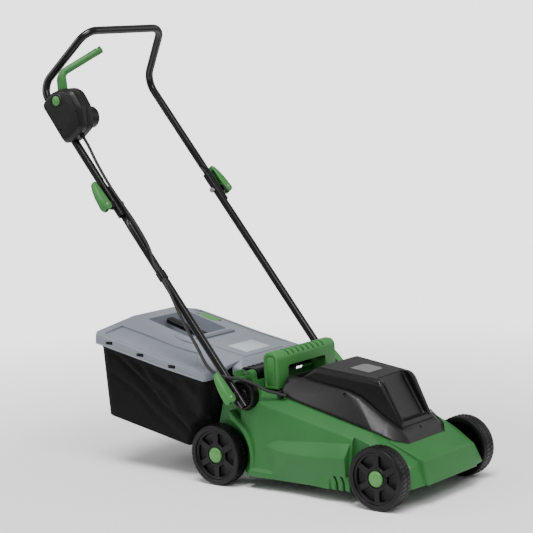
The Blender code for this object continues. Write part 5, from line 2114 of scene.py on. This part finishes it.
makeSwitchBox()
makeBail()
makeInlet()
print("switch box made")


# motor lead, held along the handle and into the deck's seam

leadLook = {"radius": 0.0036, "sides": 20, "upperCount": 90, "lowerCount": 110}
upperRoute = [
    onHandle(-0.1900, -0.0900, 0.0290, switchStart), onHandle(-0.1900, -0.1200, 0.0275, switchStart),
    onHandle(-0.1890, 0.6500, 0.0200), onHandle(-0.1870, 0.5900, 0.0152),
    onHandle(-0.1850, 0.5405, 0.0152), onHandle(-0.1840, 0.4800, 0.0170), onHandle(-0.1870, 0.4150, 0.0160),
    onHandle(-0.1950, 0.3700, 0.0100), onHandle(-0.1962, 0.3520, 0.0090), onHandle(-0.1962, 0.3382, 0.0090),
]
lowerRoute = [
    onHandle(-0.1962, 0.3370, 0.0090), onHandle(-0.1962, 0.3240, 0.0090), onHandle(-0.1975, 0.2850, 0.0040),
    onHandle(-0.1985, 0.2100, -0.0080), onHandle(-0.1985, 0.1500, -0.0120),
    Vector((-0.2000, 0.4480, 0.2820)), Vector((-0.2010, 0.4200, 0.2640)), Vector((-0.1930, 0.3920, 0.2570)),
    Vector((-0.1780, 0.3650, 0.2530)), Vector((-0.1600, 0.3400, 0.2400)),
    Vector((-0.1480, 0.3200, 0.2265)), Vector((-0.1360, 0.3000, 0.2195)), Vector((-0.1255, 0.2800, 0.2130)),
]


def makeLead():
    shift = Vector((0, axleY, 0))
    for name, route, count, bodies, start, end in (
        (
            "leadRun_upper", upperRoute, leadLook["upperCount"], ("lower_handle", "upper_handle"),
            onHandle(0, 0.42, 0), onHandle(0, 0.64, 0)
        ),
        (
            "leadRun_lower", lowerRoute, leadLook["lowerCount"], ("chassis", "lower_handle"),
            Vector((0, 0.345, 0.235)), onHandle(0, 0.26, 0)
        ),
    ):
        run = tubeShape(smoothLine(route, count), leadLook["radius"], leadLook["sides"])
        run.data.transform(Matrix.Translation(shift))
        run.name = name
        run.data.name = name
        run.data.shade_smooth()
        run.data.materials.append(leadRubber)
        spare.objects.unlink(run)
        bpy.context.scene.collection.objects.link(run)
        start + shift
        end + shift
        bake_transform(run)
        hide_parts("lead_upper" if name.endswith("upper") else "lead_lower")
    # the small clip that holds the lead where it enters the cover's seam
    clip = softened(boxShape((-0.1335, 0.2900, 0.2085), (-0.1195, 0.3010, 0.2240)), 0.0025, 3, 40)
    piece(clip, "seamClip", "chassis", smallBlack)


makeLead()
print("lead made")


# floor

floorLook = {"clear": 0.7, "gone": 2.1, "size": 6.0}


def makeFloor():
    look = floorLook
    paint = Paint("floorPaint", {"Roughness": 0.9, "Specular IOR Level": 0.1})
    paint.feed("Base Color", paint.blend(paint.noise(1.5, 2.0), (0.93, 0.93, 0.93), (0.96, 0.96, 0.96)))
    spread = paint.add("ShaderNodeVectorMath", {"operation": "LENGTH"}, {0: paint.place()}, output=1)
    paint.feed("Alpha", (1.0 - (spread - look["clear"]) / (look["gone"] - look["clear"])).held())
    shape = bmesh.new()
    bmesh.ops.create_grid(shape, x_segments=4, y_segments=4, size=floorLook["size"])
    floor = fromBmesh("floor", shape, outward=False)
    floor.location.z = -0.0004
    floor.data.materials.append(paint.material)
    spare.objects.unlink(floor)
    bpy.context.scene.collection.objects.link(floor)


makeFloor()
bpy.data.objects.remove(screwShape, do_unlink=True)
for leftover in list(spare.objects):
    bpy.data.objects.remove(leftover, do_unlink=True)
bpy.data.collections.remove(spare)
